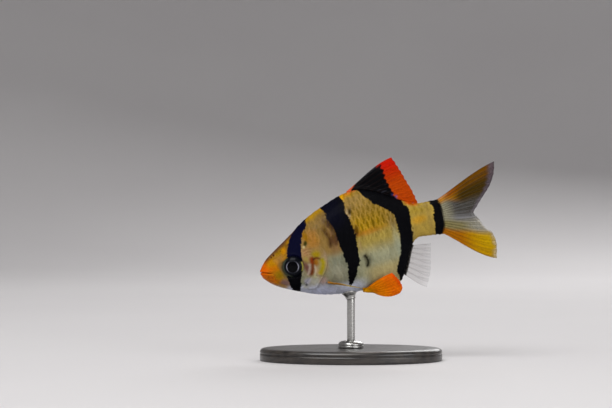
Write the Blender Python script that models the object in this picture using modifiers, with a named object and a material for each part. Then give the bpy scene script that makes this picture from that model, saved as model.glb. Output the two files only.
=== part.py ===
"""Tiger barb: a still, life-size display model of the fish on a plain stand.

The fish is laid out in its own body frame, in millimetres, and then tipped nose down as a
whole by the empty that carries it. In that frame x runs from the snout to the tail, y to
the fish's right side and z up its back. The flesh is one surface that is parted into head,
trunk and tail stalk; a place on it is given by the distance x and by the level v, which is
-1 on the belly line, 0 where the body is widest and +1 on the back line.
"""

import math

import bmesh
import bpy
import numpy as np

MM = 0.001

# Whole fish: the body is 48 from snout to tail base, and 62 with the tail fin
SNOUT_X = -0.05
NOSE_DOWN = 16.18
FISH_CENTRE_X = 29.72
GAP = 0.3

# Body outline: (distance from the snout, height) pairs for each smooth curve
BACK_LINE = [
    (SNOUT_X, -0.45), (0.05, 0.0), (0.3, 0.45), (0.95, 1.2), (2.0, 2.2), (3.4, 3.1), (5.0, 4.0),
    (9.7, 6.6), (14.5, 9.35), (20.3, 11.45), (26.0, 12.85), (28.5, 12.95), (33.0, 11.2), (38.0, 7.95),
    (42.7, 5.3), (45.0, 5.05), (48.6, 5.0),
]
BELLY_LINE = [
    (SNOUT_X, -0.45), (0.07, -1.7), (0.64, -2.65), (1.28, -3.4), (3.1, -5.0), (4.8, -6.05),
    (8.2, -7.85), (12.8, -9.85), (17.7, -11.15), (22.8, -11.85), (28.0, -12.4), (32.0, -12.7),
    (33.6, -12.1), (36.0, -8.6), (38.0, -5.0), (39.5, -3.45), (43.6, -3.3), (48.6, -4.5),
]
WIDEST_LINE = [
    (SNOUT_X, -0.45), (1.0, -0.85), (2.6, -1.4), (8.0, -1.3), (16.0, -1.5), (24.0, -1.2),
    (34.0, 0.4), (41.0, 1.0), (48.6, 0.4),
]
HALF_WIDTH = [
    (SNOUT_X, 0.0), (0.35, 1.0), (1.25, 1.6), (3.0, 2.3), (5.5, 3.05), (8.0, 3.6), (12.0, 4.25),
    (16.0, 4.6), (20.0, 4.65), (25.0, 4.5), (30.0, 3.95), (35.0, 3.05), (40.0, 2.15), (44.0, 1.5),
    (48.6, 0.7),
]
BACK_FULLNESS = 1.15
BELLY_FULLNESS = 0.86

HEAD_STATIONS = 18
TRUNK_STATIONS = 24
STALK_STATIONS = 5
FLANK_ANGLES = [0, 4, 9, 16, 25, 36, 48, 60, 72, 82, 90]
SHARP_ANGLE = 40.0

# Parting lines: (level, distance from the snout)
GILL_OPENING = [
    (-1.0, 10.0), (-0.75, 12.6), (-0.53, 14.3), (-0.35, 15.7), (-0.18, 16.6), (0.0, 17.05),
    (0.17, 17.0), (0.35, 15.9), (0.5, 14.5), (0.75, 12.9), (1.0, 11.6),
]
COVER_FRONT = [(-0.86, 10.3), (-0.6, 10.7), (-0.3, 11.4), (0.0, 11.85), (0.2, 12.3), (0.42, 13.5)]
COVER_LOW_LEVEL = -0.86
COVER_HIGH_LEVEL = 0.42
LEVEL_PER_MM = 0.033
STALK_START = 42.6
STALK_END = 47.0
STALK_END_BULGE = 1.0
STALK_END_SLANT = 0.4

# Head details
MOUTH_END = 2.7
MOUTH_FADE = 1.0
LIP_RISE = 0.16
LIP_OFFSET = 0.42
LIP_WIDTH = 0.26
MOUTH_DEPTH = 0.38
MOUTH_WIDTH = 0.15
EYE_CENTRE = (8.2, 2.87, -1.25)
EYE_RADIUS = 2.72
EYE_HALF_DEPTH = 1.4
EYE_TURN = 11.0
EYE_SEGMENTS = 24
NOSTRIL_PLACES = [(3.55, 2.45), (4.25, 2.8)]
NOSTRIL_RADIUS = 0.22
NOSTRIL_DEPTH = 0.5
NOSTRIL_TIP = 55.0
NOSTRIL_TURN = 20.0
COVER_DEPTH = 1.1
COVER_LIFT = 0.2
COVER_EDGE_LIFT = 0.15
COVER_COLUMNS = 6
COVER_ROWS = 12
POCKET_REACH = 2.0

# Fins: every fin is a sheet between its root line and its margin, thicker along each ray.
# A bow is how far the first and the last ray leave their chords, and the rays between share it.
RAY_THICKNESS = 0.85
WEB_THICKNESS = 0.55
TIP_SHARE = 0.62
TIP_TAPER_POWER = 1.5
SCALLOP = 0.3
NO_BOW = (0.0, 0.0, 0.0)

DORSAL_BASE = (26.4, 41.4)
DORSAL_MARGIN = [(39.75, 18.3), (40.45, 16.5), (41.1, 14.1), (41.75, 11.6), (42.4, 9.2), (43.2, 5.75)]
DORSAL_BOWS = ((-0.222, 0.0, 0.558), (-0.037, 0.0, 0.093))
DORSAL_RAYS = 11
DORSAL_ROWS = 6
ANAL_BASE = (34.5, 38.6)
ANAL_MARGIN = [(39.3, -15.6), (41.0, -12.6), (42.2, -9.0), (43.3, -5.3)]
ANAL_BOWS = ((-0.18, 0.0, -0.24), NO_BOW)
ANAL_RAYS = 8
ANAL_ROWS = 5
UPPER_LOBE_LEVELS = (0.97, 0.035)
UPPER_LOBE_MARGIN = [(64.4, 10.1), (63.6, 7.6), (61.7, 4.7), (58.5, 1.75), (55.9, -0.7)]
UPPER_LOBE_BOWS = ((-0.135, 0.0, 0.4275), NO_BOW)
UPPER_LOBE_RAYS = 10
UPPER_LOBE_ROWS = 6
LOWER_LOBE_LEVELS = (-0.035, -0.97)
LOWER_LOBE_MARGIN = [(55.85, -1.15), (57.5, -4.4), (58.9, -6.9), (59.25, -9.6), (58.2, -13.6)]
LOWER_LOBE_BOWS = (NO_BOW, (-0.35, 0.0, -0.55))
LOWER_LOBE_RAYS = 9
LOWER_LOBE_ROWS = 5
PELVIC_ROOT = (23.5, 25.3)
PELVIC_ROOT_LEVEL = -0.965
PELVIC_MARGIN = [(31.7, 5.2, -9.55), (33.1, 4.9, -12.2), (33.2, 4.2, -14.9)]
PELVIC_BOWS = ((0.0, 0.7, 0.0), (-0.3, 0.4, -0.95))
PELVIC_RAYS = 9
PELVIC_ROWS = 5
PECTORAL_ROOT = [(15.5, -7.35), (16.9, -8.15)]
PECTORAL_ROOT_GAP = 0.55
PECTORAL_LENGTH = 9.4
PECTORAL_LAST_RAY_SHARE = 0.78
PECTORAL_FRONT_ANGLE = 58.0
PECTORAL_REAR_ANGLE = 12.0
PECTORAL_DROOP = 24.5
PECTORAL_BOWS = ((0.0, 0.0, 0.35), NO_BOW)
PECTORAL_RAY_THICKNESS = 0.7
PECTORAL_WEB_THICKNESS = 0.5
PECTORAL_RAYS = 10
PECTORAL_ROWS = 4

# Stand
CLEARANCE_BELOW_FISH = 14.0
BASE_LENGTH = 46.0
BASE_WIDTH = 30.0
BASE_THICKNESS = 3.2
BASE_ROUNDING = 0.9
ROD_PLACE = 20.2
ROD_RADIUS = 1.0
COLLAR_RADIUS = 3.2
COLLAR_HEIGHT = 1.6
COLLAR_PROFILE = [(0.0, 1.0), (0.62, 1.0), (0.9, 0.72), (1.0, 0.3), (1.0, 0.0), (0.0, 0.0)]
CUP_RADIUS = 1.9
CUP_HEIGHT = 1.9
CUP_RIM = 0.5
CUP_HOLLOW_RADIUS = 3.4
CUP_HOLLOW_SEGMENTS = 64
BASE_SEGMENTS = 48

# Colours
ORANGE_SKIN = (0.78, 0.32, 0.05)
GOLD_SKIN = (0.62, 0.46, 0.16)
PALE_GOLD_SKIN = (0.72, 0.55, 0.22)
COVER_SKIN = (0.74, 0.58, 0.30)
EYE_BLACK = (0.012, 0.012, 0.016)
DORSAL_RED = (0.80, 0.12, 0.03)
TAIL_ORANGE = (0.78, 0.36, 0.04)
TAIL_YELLOW = (0.82, 0.50, 0.04)
PELVIC_ORANGE = (0.90, 0.24, 0.02)
CLEAR_FIN = (0.62, 0.62, 0.60)
PECTORAL_YELLOW = (0.76, 0.58, 0.28)
BASE_BLACK = (0.03, 0.028, 0.027)
ROD_STEEL = (0.55, 0.55, 0.54)


def clear_scene():
    """Empty the file of the objects that it opens with."""
    for thing in list(bpy.data.objects):
        bpy.data.objects.remove(thing, do_unlink=True)


def curve_through(points):
    """A smooth function through the points: a cubic between each two, sloped by its neighbours."""
    x, y = np.array(points, float).T
    slope = np.gradient(y, x)

    def value(at):
        at = np.clip(at, x[0], x[-1])
        i = np.clip(np.searchsorted(x, at, side="right") - 1, 0, len(x) - 2)
        span = x[i + 1] - x[i]
        f = (at - x[i]) / span
        start = (1 + 2 * f) * (1 - f) ** 2 * y[i] + f * (1 - f) ** 2 * span * slope[i]
        end = f * f * (3 - 2 * f) * y[i + 1] + f * f * (f - 1) * span * slope[i + 1]
        return start + end

    return value


def rounded_at_snout(points):
    """The same, over the square root of the distance from the snout, so that the snout is round."""
    over_root = curve_through([(math.sqrt(x - SNOUT_X), y) for x, y in points])
    return lambda x: over_root(np.sqrt(np.maximum(np.asarray(x, float) - SNOUT_X, 0.0)))


def path_through(points):
    """A function of 0 to 1 that follows the points smoothly, at even steps along their chords."""
    p = np.array(points, float)
    reach = np.concatenate([[0.0], np.cumsum(np.linalg.norm(np.diff(p, axis=0), axis=1))])
    along = reach / reach[-1]
    axes = [curve_through(list(zip(along, p[:, k]))) for k in range(p.shape[1])]
    return lambda f: np.stack([axis(f) for axis in axes], axis=-1)


back_height = rounded_at_snout(BACK_LINE)
belly_height = rounded_at_snout(BELLY_LINE)
widest_height = rounded_at_snout(WIDEST_LINE)
half_width = rounded_at_snout(HALF_WIDTH)
gill_opening = curve_through(GILL_OPENING)
cover_front = curve_through(COVER_FRONT)


def height_at(x, v):
    """Height of level v at distance x: from the widest line to the back, or to the belly."""
    above = back_height(x) - widest_height(x)
    below = widest_height(x) - belly_height(x)
    return widest_height(x) + v * np.where(v > 0, above, below)


def width_at(x, v):
    """Half width at level v: an oval that is narrower towards the back than the belly."""
    fullness = np.where(v > 0, BACK_FULLNESS, BELLY_FULLNESS)
    return half_width(x) * np.maximum(1 - v * v, 0.0) ** (fullness / 2)


def level_of(x, z):
    """Level v of height z at distance x."""
    middle = widest_height(x)
    above = (z - middle) / (back_height(x) - middle)
    below = (z - middle) / (middle - belly_height(x))
    return np.where(z > middle, above, below)


def body_points(x, v):
    """Places on the left flank."""
    return np.stack([x, -width_at(x, v), height_at(x, v)], axis=-1)


def with_lips(points, x):
    """Raise the two lips and sink the line of the mouth between them, round the snout's front."""
    off_line = points[..., 2] - widest_height(x)
    lips = LIP_RISE * np.exp(-(((np.abs(off_line) - LIP_OFFSET) / LIP_WIDTH) ** 2))
    line = MOUTH_DEPTH * np.exp(-((off_line / MOUTH_WIDTH) ** 2))
    fade = np.clip((MOUTH_END + MOUTH_FADE / 2 - x) / MOUTH_FADE, 0.0, 1.0)
    inside = np.stack([np.full_like(x, MOUTH_END), np.zeros_like(x), points[..., 2]], axis=-1)
    outward = points - inside
    outward /= np.linalg.norm(outward, axis=-1, keepdims=True) + 1e-9
    return points + outward * ((lips - line) * fade)[..., None]


def off_flank(x, v, gap):
    """Places off the right flank, by gap square to the skin."""
    step = 0.01
    here = body_points(x, v)
    along = body_points(x + step, v) - here
    up = body_points(x, v + step) - here
    square = np.cross(along, up)
    square /= np.linalg.norm(square, axis=-1, keepdims=True)
    return (here + square * gap) * np.array([1.0, -1.0, 1.0])


def slope_gap(line, v, x):
    """The gap measured along x that leaves GAP square to the slanting parting line."""
    step = 0.01
    run = line(np.clip(v + step, -1, 1)) - line(np.clip(v - step, -1, 1))
    rise = height_at(x, np.clip(v + step, -1, 1)) - height_at(x, np.clip(v - step, -1, 1))
    return GAP * np.sqrt(1 + (run / rise) ** 2)


def outline_point(x, line, sign, gap):
    """A point off the back (sign +1) or belly (sign -1) line, by gap square to that line."""
    step = 0.05
    slope = (line(x + step) - line(x - step)) / (2 * step)
    across = np.sqrt(1 + slope**2)
    aside = x - sign * slope / across * gap
    return np.stack([aside, np.zeros_like(x), line(x) + sign * gap / across], axis=-1)


def material(name, colour, roughness, metallic=0.0):
    finish = bpy.data.materials.new(name)
    finish.use_nodes = True
    shader = finish.node_tree.nodes["Principled BSDF"]
    shader.inputs["Base Color"].default_value = (*colour, 1.0)
    shader.inputs["Roughness"].default_value = roughness
    shader.inputs["Metallic"].default_value = metallic
    finish.diffuse_color = (*colour, 1.0)
    return finish


def object_from(bm, name, collection, parent=None, finish=None):
    """Make the bmesh an object of its own, in the collection and under its parent."""
    mesh = bpy.data.meshes.new(name)
    bm.to_mesh(mesh)
    bm.free()
    mesh.shade_smooth()
    mesh.set_sharp_from_angle(angle=math.radians(SHARP_ANGLE))
    thing = bpy.data.objects.new(name, mesh)
    collection.objects.link(thing)
    thing.parent = parent
    if finish:
        mesh.materials.append(finish)
    return thing


def shaped_grid(columns, rows, shape):
    """A grid of columns by rows faces, each vertex moved to shape(u, w), with u and w from 0 to 1."""
    bm = bmesh.new()
    bmesh.ops.create_grid(bm, x_segments=columns, y_segments=rows, size=0.5)
    uw = np.array([(v.co.x + 0.5, v.co.y + 0.5) for v in bm.verts])
    places = shape(uw[:, 0], uw[:, 1]) * MM
    for vertex, place in zip(bm.verts, places):
        vertex.co = place
    return bm, uw


def flank_rows():
    """Levels from belly to back: close together by the mouth line, then spread evenly round."""
    angles = np.array(FLANK_ANGLES)
    both = np.concatenate([-angles[:0:-1], angles])
    return np.sin(np.radians(both))


def flesh_piece(name, stations, reach, collection, parent, finish, lips=False):
    """A length of the body: its left half, closed by flat ends at the mid-plane, and mirrored.

    reach(share, v) gives the distance from the snout for each share of the length, and the
    first and last column of the grid lie on the mid-plane, which closes the ends.
    """
    levels = flank_rows()
    shares = np.concatenate([[0.0], np.linspace(0.0, 1.0, stations), [1.0]])
    last = len(shares) - 1

    def shape(u, w):
        column = np.rint(u * last).astype(int)
        v = levels[np.rint(w * (len(levels) - 1)).astype(int)]
        x = reach(shares[column], v)
        points = body_points(x, v)
        if lips:
            points = with_lips(points, x)
        closed = (column == 0) | (column == last) | (np.abs(v) > 0.99999)
        points[closed, 1] = 0.0
        return points

    bm, _ = shaped_grid(last, len(levels) - 1, shape)
    bmesh.ops.remove_doubles(bm, verts=bm.verts, dist=1e-7)
    bmesh.ops.triangulate(bm, faces=bm.faces)
    thing = object_from(bm, name, collection, parent, finish)
    mirror = thing.modifiers.new("both_sides", "MIRROR")
    mirror.use_axis = (False, True, False)
    mirror.merge_threshold = 1e-6
    return thing


def head_reach(share, v):
    return SNOUT_X + (gill_opening(v) - SNOUT_X) * share**2


def trunk_reach(share, v):
    front = gill_opening(v) + slope_gap(gill_opening, v, gill_opening(v))
    return front + (STALK_START - GAP - front) * share


def stalk_end(v):
    return STALK_END + STALK_END_BULGE * (1 - v * v) + STALK_END_SLANT * v


def stalk_reach(share, v):
    return STALK_START + (stalk_end(v) - STALK_START) * share


def cut(target, cutter):
    """Take the cutter out of the target; the cutter stays as a hidden guide."""
    cutter.hide_render = True
    cutter.display_type = "WIRE"
    hole = target.modifiers.new(f"cut_{cutter.name}", "BOOLEAN")
    hole.operation = "DIFFERENCE"
    hole.object = cutter


def lens(name, centre, radius, half_depth, turn, collection, parent, finish=None):
    """A flattened ball, as a fish's eye is: its short axis points out of the side of the head."""
    bm = bmesh.new()
    bmesh.ops.create_uvsphere(bm, u_segments=EYE_SEGMENTS, v_segments=EYE_SEGMENTS // 2, radius=1.0)
    for vertex in bm.verts:
        x, y, z = vertex.co
        vertex.co = (x * radius * MM, z * half_depth * MM, -y * radius * MM)
    thing = object_from(bm, name, collection, parent, finish)
    thing.location = [c * MM for c in centre]
    thing.rotation_euler = (0, 0, math.radians(turn))
    return thing


def gill_cover_sheet(side, grow, reach):
    """The cover's outline on the flank, lifted a little towards its free rear edge."""
    low = COVER_LOW_LEVEL - grow * LEVEL_PER_MM
    high = COVER_HIGH_LEVEL + grow * LEVEL_PER_MM

    def shape(u, w):
        v = low + (high - low) * w
        front = cover_front(v) - grow
        rear = gill_opening(v) + reach
        x = front + (rear - front) * u
        points = body_points(x, v)
        points[:, 1] -= COVER_EDGE_LIFT * u**3
        points[:, 1] *= -side
        return points

    return shape


def curved_plate(name, side, grow, reach, inward, outward, collection, parent, finish=None):
    """A sheet on the flank, given its thickness: inward below the skin and outward above it."""
    bm, _ = shaped_grid(COVER_COLUMNS, COVER_ROWS, gill_cover_sheet(side, grow, reach))
    bmesh.ops.triangulate(bm, faces=bm.faces)
    if side > 0:
        bmesh.ops.reverse_faces(bm, faces=bm.faces)
    thing = object_from(bm, name, collection, parent, finish)
    plate = thing.modifiers.new("plate", "SOLIDIFY")
    plate.thickness = (inward + outward) * MM
    plate.offset = 2 * outward / (inward + outward) - 1
    return thing


def gill_cover(side, word, head, collection, cutters, pose):
    """The plate over the gills, in a pocket of the head that is open to the rear."""
    finish = material(f"gill_cover_{word}_skin", COVER_SKIN, 0.35)
    curved_plate(f"gill_cover_{word}", side, 0.0, 0.0, COVER_DEPTH, COVER_LIFT, collection, pose, finish)
    pocket = curved_plate(
        f"pocket_cutter_{word}", side, GAP, POCKET_REACH, COVER_DEPTH + GAP, COVER_DEPTH, cutters, pose
    )
    cut(head, pocket)


def eye(side, word, head, collection, cutters, pose):
    """The eyeball, turned to lie in the slant of the head, in a socket that clears it all round."""
    x, y, z = EYE_CENTRE
    centre = (x, side * y, z)
    turn = side * EYE_TURN
    black = material(f"eye_{word}_black", EYE_BLACK, 0.1)
    lens(f"eye_{word}", centre, EYE_RADIUS, EYE_HALF_DEPTH, turn, collection, pose, black)
    socket = lens(
        f"socket_cutter_{word}", centre, EYE_RADIUS + GAP, EYE_HALF_DEPTH + GAP, turn, cutters, pose
    )
    cut(head, socket)


def nostrils(side, word, head, cutters, pose):
    """Two small pits side by side in front of the eye, drilled square to the snout's flank."""
    for number, (x, z) in enumerate(NOSTRIL_PLACES, start=1):
        name = f"nostril_cutter_{number}_{word}"
        pit = cylinder(name, NOSTRIL_RADIUS, 2 * NOSTRIL_DEPTH, cutters, pose, segments=10)
        y = float(width_at(x, level_of(x, z)))
        pit.location = (x * MM, side * y * MM, z * MM)
        pit.rotation_euler = (math.radians(-NOSTRIL_TIP * side), 0, math.radians(NOSTRIL_TURN * side))
        cut(head, pit)


def fin(
    name, root, margin, rays, rows, bows, collection, parent, finish,
    ray=RAY_THICKNESS, web=WEB_THICKNESS,
):
    """A fin: rays run from root to margin, bowed a little, with thinner web between them.

    root and margin are functions of 0 to 1 across the fin. A ray leaves its chord by its bow,
    most of all two thirds of the way out, where w * w * (1 - w) has its peak of 4 / 27.
    """
    columns = 2 * (rays - 1)
    first_bow, last_bow = (np.array(bow) for bow in bows)

    def shape(u, w):
        is_web = np.rint(u * columns).astype(int) % 2 == 1
        start = root(u)
        reach = margin(u) - start
        length = np.linalg.norm(reach, axis=-1)
        along = w * np.where(is_web, 1 - SCALLOP / length, 1.0)
        bow = first_bow + (last_bow - first_bow) * u[:, None]
        bulge = along**2 * (1 - along) / (4 / 27)
        return start + reach * along[:, None] + bow * bulge[:, None]

    bm, uw = shaped_grid(columns, rows, shape)
    bmesh.ops.triangulate(bm, faces=bm.faces)
    thing = object_from(bm, name, collection, parent, finish)
    group = thing.vertex_groups.new(name="thickness")
    for index, (u, w) in enumerate(uw):
        local = web if round(u * columns) % 2 else ray
        taper = 1 - (1 - TIP_SHARE) * w**TIP_TAPER_POWER
        group.add([index], float(local / ray * taper), "REPLACE")
    body = thing.modifiers.new("rays_and_web", "SOLIDIFY")
    body.thickness = ray * MM
    body.offset = 0.0
    body.vertex_group = "thickness"
    return thing


def flat_path(points):
    """A path in the fish's mid-plane."""
    path = path_through(points)

    def place(f):
        xz = path(f)
        return np.stack([xz[:, 0], np.zeros_like(f), xz[:, 1]], axis=-1)

    return place


def dorsal_fin(collection, parent):
    start, end = DORSAL_BASE

    def root(u):
        return outline_point(start + (end - start) * u, back_height, 1, GAP)

    red = material("dorsal_fin_red", DORSAL_RED, 0.4)
    margin = flat_path(DORSAL_MARGIN)
    fin("dorsal_fin", root, margin, DORSAL_RAYS, DORSAL_ROWS, DORSAL_BOWS, collection, parent, red)


def anal_fin(collection, parent):
    start, end = ANAL_BASE

    def root(u):
        return outline_point(start + (end - start) * u, belly_height, -1, GAP)

    clear = material("anal_fin_clear", CLEAR_FIN, 0.3)
    margin = flat_path(ANAL_MARGIN)
    fin("anal_fin", root, margin, ANAL_RAYS, ANAL_ROWS, ANAL_BOWS, collection, parent, clear)


def tail_fin(collection, parent):
    """Two lobes, each rooted on its share of the tail stalk's end."""

    def root_between(levels):
        start, end = levels

        def root(u):
            v = start + (end - start) * u
            x = stalk_end(v)
            return np.stack([x + slope_gap(stalk_end, v, x), np.zeros_like(x), height_at(x, v)], axis=-1)

        return root

    root = root_between(UPPER_LOBE_LEVELS)
    margin = flat_path(UPPER_LOBE_MARGIN)
    orange = material("tail_fin_orange", TAIL_ORANGE, 0.4)
    fin(
        "caudal_lobe_upper", root, margin, UPPER_LOBE_RAYS, UPPER_LOBE_ROWS, UPPER_LOBE_BOWS,
        collection, parent, orange,
    )

    root = root_between(LOWER_LOBE_LEVELS)
    margin = flat_path(LOWER_LOBE_MARGIN)
    yellow = material("tail_fin_yellow", TAIL_YELLOW, 0.4)
    fin(
        "caudal_lobe_lower", root, margin, LOWER_LOBE_RAYS, LOWER_LOBE_ROWS, LOWER_LOBE_BOWS,
        collection, parent, yellow,
    )


def mirrored(path, side):
    """The path on the right side as given, or on the left."""
    return lambda f: path(f) * np.array([1.0, side, 1.0])


def pelvic_fin(name, side, collection, parent):
    """A fan spread back along the flank, on a short root beside the belly line."""
    start, end = PELVIC_ROOT

    def right_root(u):
        x = start + (end - start) * u
        return off_flank(x, np.full_like(x, PELVIC_ROOT_LEVEL), GAP + RAY_THICKNESS / 2)

    root = mirrored(right_root, side)
    margin = mirrored(path_through(PELVIC_MARGIN), side)
    bows = np.array(PELVIC_BOWS) * np.array([1.0, side, 1.0])
    orange = material(f"{name}_orange", PELVIC_ORANGE, 0.4)
    fin(name, root, margin, PELVIC_RAYS, PELVIC_ROWS, bows, collection, parent, orange)


def pectoral_fin(name, side, collection, parent):
    """A fan held out level like a wing, in the plane of its root and the sideways direction."""
    base = path_through(PECTORAL_ROOT)
    droop = math.radians(PECTORAL_DROOP)

    def root(u):
        xz = base(u)
        y = width_at(xz[:, 0], level_of(xz[:, 0], xz[:, 1])) + PECTORAL_ROOT_GAP
        return np.stack([xz[:, 0], side * y, xz[:, 1]], axis=-1)

    def margin(u):
        turn = np.radians(PECTORAL_FRONT_ANGLE + (PECTORAL_REAR_ANGLE - PECTORAL_FRONT_ANGLE) * u)
        length = PECTORAL_LENGTH * (1 - (1 - PECTORAL_LAST_RAY_SHARE) * u)
        back = length * np.cos(turn)
        out = length * np.sin(turn)
        reach = np.stack([back * math.cos(droop), side * out, -back * math.sin(droop)], axis=-1)
        return root(u) + reach

    clear = material(f"{name}_clear", PECTORAL_YELLOW, 0.35)
    fin(
        name, root, margin, PECTORAL_RAYS, PECTORAL_ROWS, PECTORAL_BOWS, collection, parent, clear,
        ray=PECTORAL_RAY_THICKNESS, web=PECTORAL_WEB_THICKNESS,
    )


def turned_disc(name, radius, height, place_z, x, collection, finish):
    """A small turned disc with a rounded upper edge, standing on place_z."""
    profile = [(radius * r * MM, 0.0, height * z * MM) for r, z in COLLAR_PROFILE]
    mesh = bpy.data.meshes.new(name)
    mesh.from_pydata(profile, [(i, i + 1) for i in range(len(profile) - 1)], [])
    mesh.materials.append(finish)
    thing = bpy.data.objects.new(name, mesh)
    collection.objects.link(thing)
    thing.location = (x * MM, 0, place_z * MM)
    turn = thing.modifiers.new("turned", "SCREW")
    turn.steps = 32
    turn.render_steps = 32
    turn.use_merge_vertices = True
    turn.merge_threshold = 1e-6
    return thing


def cylinder(name, radius, height, collection, parent=None, finish=None, segments=32):
    bm = bmesh.new()
    bmesh.ops.create_cone(
        bm, cap_ends=True, segments=segments, radius1=radius * MM, radius2=radius * MM, depth=height * MM
    )
    return object_from(bm, name, collection, parent, finish)


def stand(collection, cutters, pose, floor_to_pose):
    """Oval base, collar, rod and the small cup that the belly rests in."""
    tilt = math.radians(NOSE_DOWN)
    step = 0.5
    belly = float(belly_height(ROD_PLACE))
    slope = math.atan2(float(belly_height(ROD_PLACE + step) - belly_height(ROD_PLACE - step)), 2 * step)
    down_x, down_z = math.sin(slope), -math.cos(slope)

    off = GAP - CUP_RIM + CUP_HEIGHT / 2
    steel = material("stand_cup_steel", ROD_STEEL, 0.3, 1.0)
    cup = cylinder("stand_cup", CUP_RADIUS, CUP_HEIGHT, collection, pose, steel)
    cup.location = ((ROD_PLACE + down_x * off) * MM, 0, (belly + down_z * off) * MM)
    cup.rotation_euler = (0, -slope, 0)
    deep = CUP_HOLLOW_RADIUS - GAP
    length = 4 * CUP_RADIUS
    hollow = cylinder("cup_hollow", CUP_HOLLOW_RADIUS, length, cutters, pose, segments=CUP_HOLLOW_SEGMENTS)
    hollow.location = ((ROD_PLACE - down_x * deep) * MM, 0, (belly - down_z * deep) * MM)
    hollow.rotation_euler = (0, math.pi / 2 - slope, 0)
    cut(cup, hollow)

    under = off + CUP_HEIGHT / 2
    under_x = ROD_PLACE + down_x * under
    under_z = belly + down_z * under
    world_x = under_x * math.cos(tilt) - under_z * math.sin(tilt) - FISH_CENTRE_X
    world_z = under_x * math.sin(tilt) + under_z * math.cos(tilt) + floor_to_pose
    rod_top = world_z - GAP - ROD_RADIUS * abs(math.sin(tilt + slope))
    rod_foot = BASE_THICKNESS + GAP + COLLAR_HEIGHT + GAP
    steel = material("stand_rod_steel", ROD_STEEL, 0.3, 1.0)
    rod = cylinder("stand_rod", ROD_RADIUS, rod_top - rod_foot, collection, None, steel)
    rod.location = (world_x * MM, 0, (rod_top + rod_foot) / 2 * MM)
    steel = material("stand_collar_steel", ROD_STEEL, 0.3, 1.0)
    foot = BASE_THICKNESS + GAP
    turned_disc("stand_collar", COLLAR_RADIUS, COLLAR_HEIGHT, foot, world_x, collection, steel)

    bm = bmesh.new()
    bmesh.ops.create_cone(bm, cap_ends=True, segments=BASE_SEGMENTS, radius1=0.5, radius2=0.5, depth=1.0)
    bmesh.ops.scale(bm, verts=bm.verts, vec=(BASE_LENGTH * MM, BASE_WIDTH * MM, BASE_THICKNESS * MM))
    base = object_from(bm, "stand_base", collection, None, material("stand_base_black", BASE_BLACK, 0.35))
    base.location = (world_x * MM, 0, BASE_THICKNESS / 2 * MM)
    rounding = base.modifiers.new("rounded_edges", "BEVEL")
    rounding.width = BASE_ROUNDING * MM
    rounding.segments = 2
    rounding.limit_method = "ANGLE"


def main():
    clear_scene()
    scene = bpy.context.scene
    parts = bpy.data.collections.new("tiger_barb")
    cutters = bpy.data.collections.new("tiger_barb_cutters")
    scene.collection.children.link(parts)
    scene.collection.children.link(cutters)

    tilt = math.radians(NOSE_DOWN)
    belly_under_rod = ROD_PLACE * math.sin(tilt) + float(belly_height(ROD_PLACE)) * math.cos(tilt)
    floor_to_pose = BASE_THICKNESS + CLEARANCE_BELOW_FISH - belly_under_rod
    pose = bpy.data.objects.new("fish_pose", None)
    parts.objects.link(pose)
    pose.location = (-FISH_CENTRE_X * MM, 0, floor_to_pose * MM)
    pose.rotation_euler = (0, -tilt, 0)

    orange = material("head_orange", ORANGE_SKIN, 0.4)
    gold = material("trunk_gold", GOLD_SKIN, 0.4)
    pale = material("tail_stalk_gold", PALE_GOLD_SKIN, 0.4)
    head = flesh_piece("head", HEAD_STATIONS, head_reach, parts, pose, orange, lips=True)
    flesh_piece("trunk", TRUNK_STATIONS, trunk_reach, parts, pose, gold)
    flesh_piece("tail_stalk", STALK_STATIONS, stalk_reach, parts, pose, pale)

    for side, word in ((-1, "left"), (1, "right")):
        eye(side, word, head, parts, cutters, pose)
        gill_cover(side, word, head, parts, cutters, pose)
        nostrils(side, word, head, cutters, pose)
        pelvic_fin(f"pelvic_fin_{word}", side, parts, pose)
        pectoral_fin(f"pectoral_fin_{word}", side, parts, pose)

    dorsal_fin(parts, pose)
    anal_fin(parts, pose)
    tail_fin(parts, pose)
    stand(parts, cutters, pose, floor_to_pose)


main()
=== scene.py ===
# %% [markdown]
# # A tiger barb, life size, swimming nose down on a plain stand
# The fish is a small striped carp: 48 mm of body, 62 mm with its tail. Its solids come from the
# frame, and this script gives it what solids lack: one unbroken skin, a coat of real scales, thin
# fins with branching rays, wet eyes, and the stand's wood and steel.
# We work in the fish's own body frame, in millimetres, as the solids do: x runs from the snout to
# the tail, y to its right side, z up its back. One function at the end of each step tips it nose
# down and turns it into metres.

import math

import bpy
import numpy as np
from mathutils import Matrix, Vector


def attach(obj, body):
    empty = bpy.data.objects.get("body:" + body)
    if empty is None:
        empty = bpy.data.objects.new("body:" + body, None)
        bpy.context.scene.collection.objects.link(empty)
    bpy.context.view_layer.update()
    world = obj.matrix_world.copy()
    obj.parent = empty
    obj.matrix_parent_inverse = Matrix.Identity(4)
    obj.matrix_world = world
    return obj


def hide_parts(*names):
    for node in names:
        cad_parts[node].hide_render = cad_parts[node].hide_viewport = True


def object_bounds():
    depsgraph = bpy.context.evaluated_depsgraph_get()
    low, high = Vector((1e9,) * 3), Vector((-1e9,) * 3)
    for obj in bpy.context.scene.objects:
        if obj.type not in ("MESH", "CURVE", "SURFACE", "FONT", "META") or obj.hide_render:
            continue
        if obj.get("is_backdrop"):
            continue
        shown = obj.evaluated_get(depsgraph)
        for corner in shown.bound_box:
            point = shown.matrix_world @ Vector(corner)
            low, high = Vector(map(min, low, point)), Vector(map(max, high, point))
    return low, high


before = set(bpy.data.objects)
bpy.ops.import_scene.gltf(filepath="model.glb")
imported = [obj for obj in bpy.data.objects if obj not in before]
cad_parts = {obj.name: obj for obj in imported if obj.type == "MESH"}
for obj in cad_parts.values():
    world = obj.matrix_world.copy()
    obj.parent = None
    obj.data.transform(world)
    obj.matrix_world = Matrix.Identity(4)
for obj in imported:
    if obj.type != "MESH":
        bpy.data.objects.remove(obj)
cad_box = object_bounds()
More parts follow.
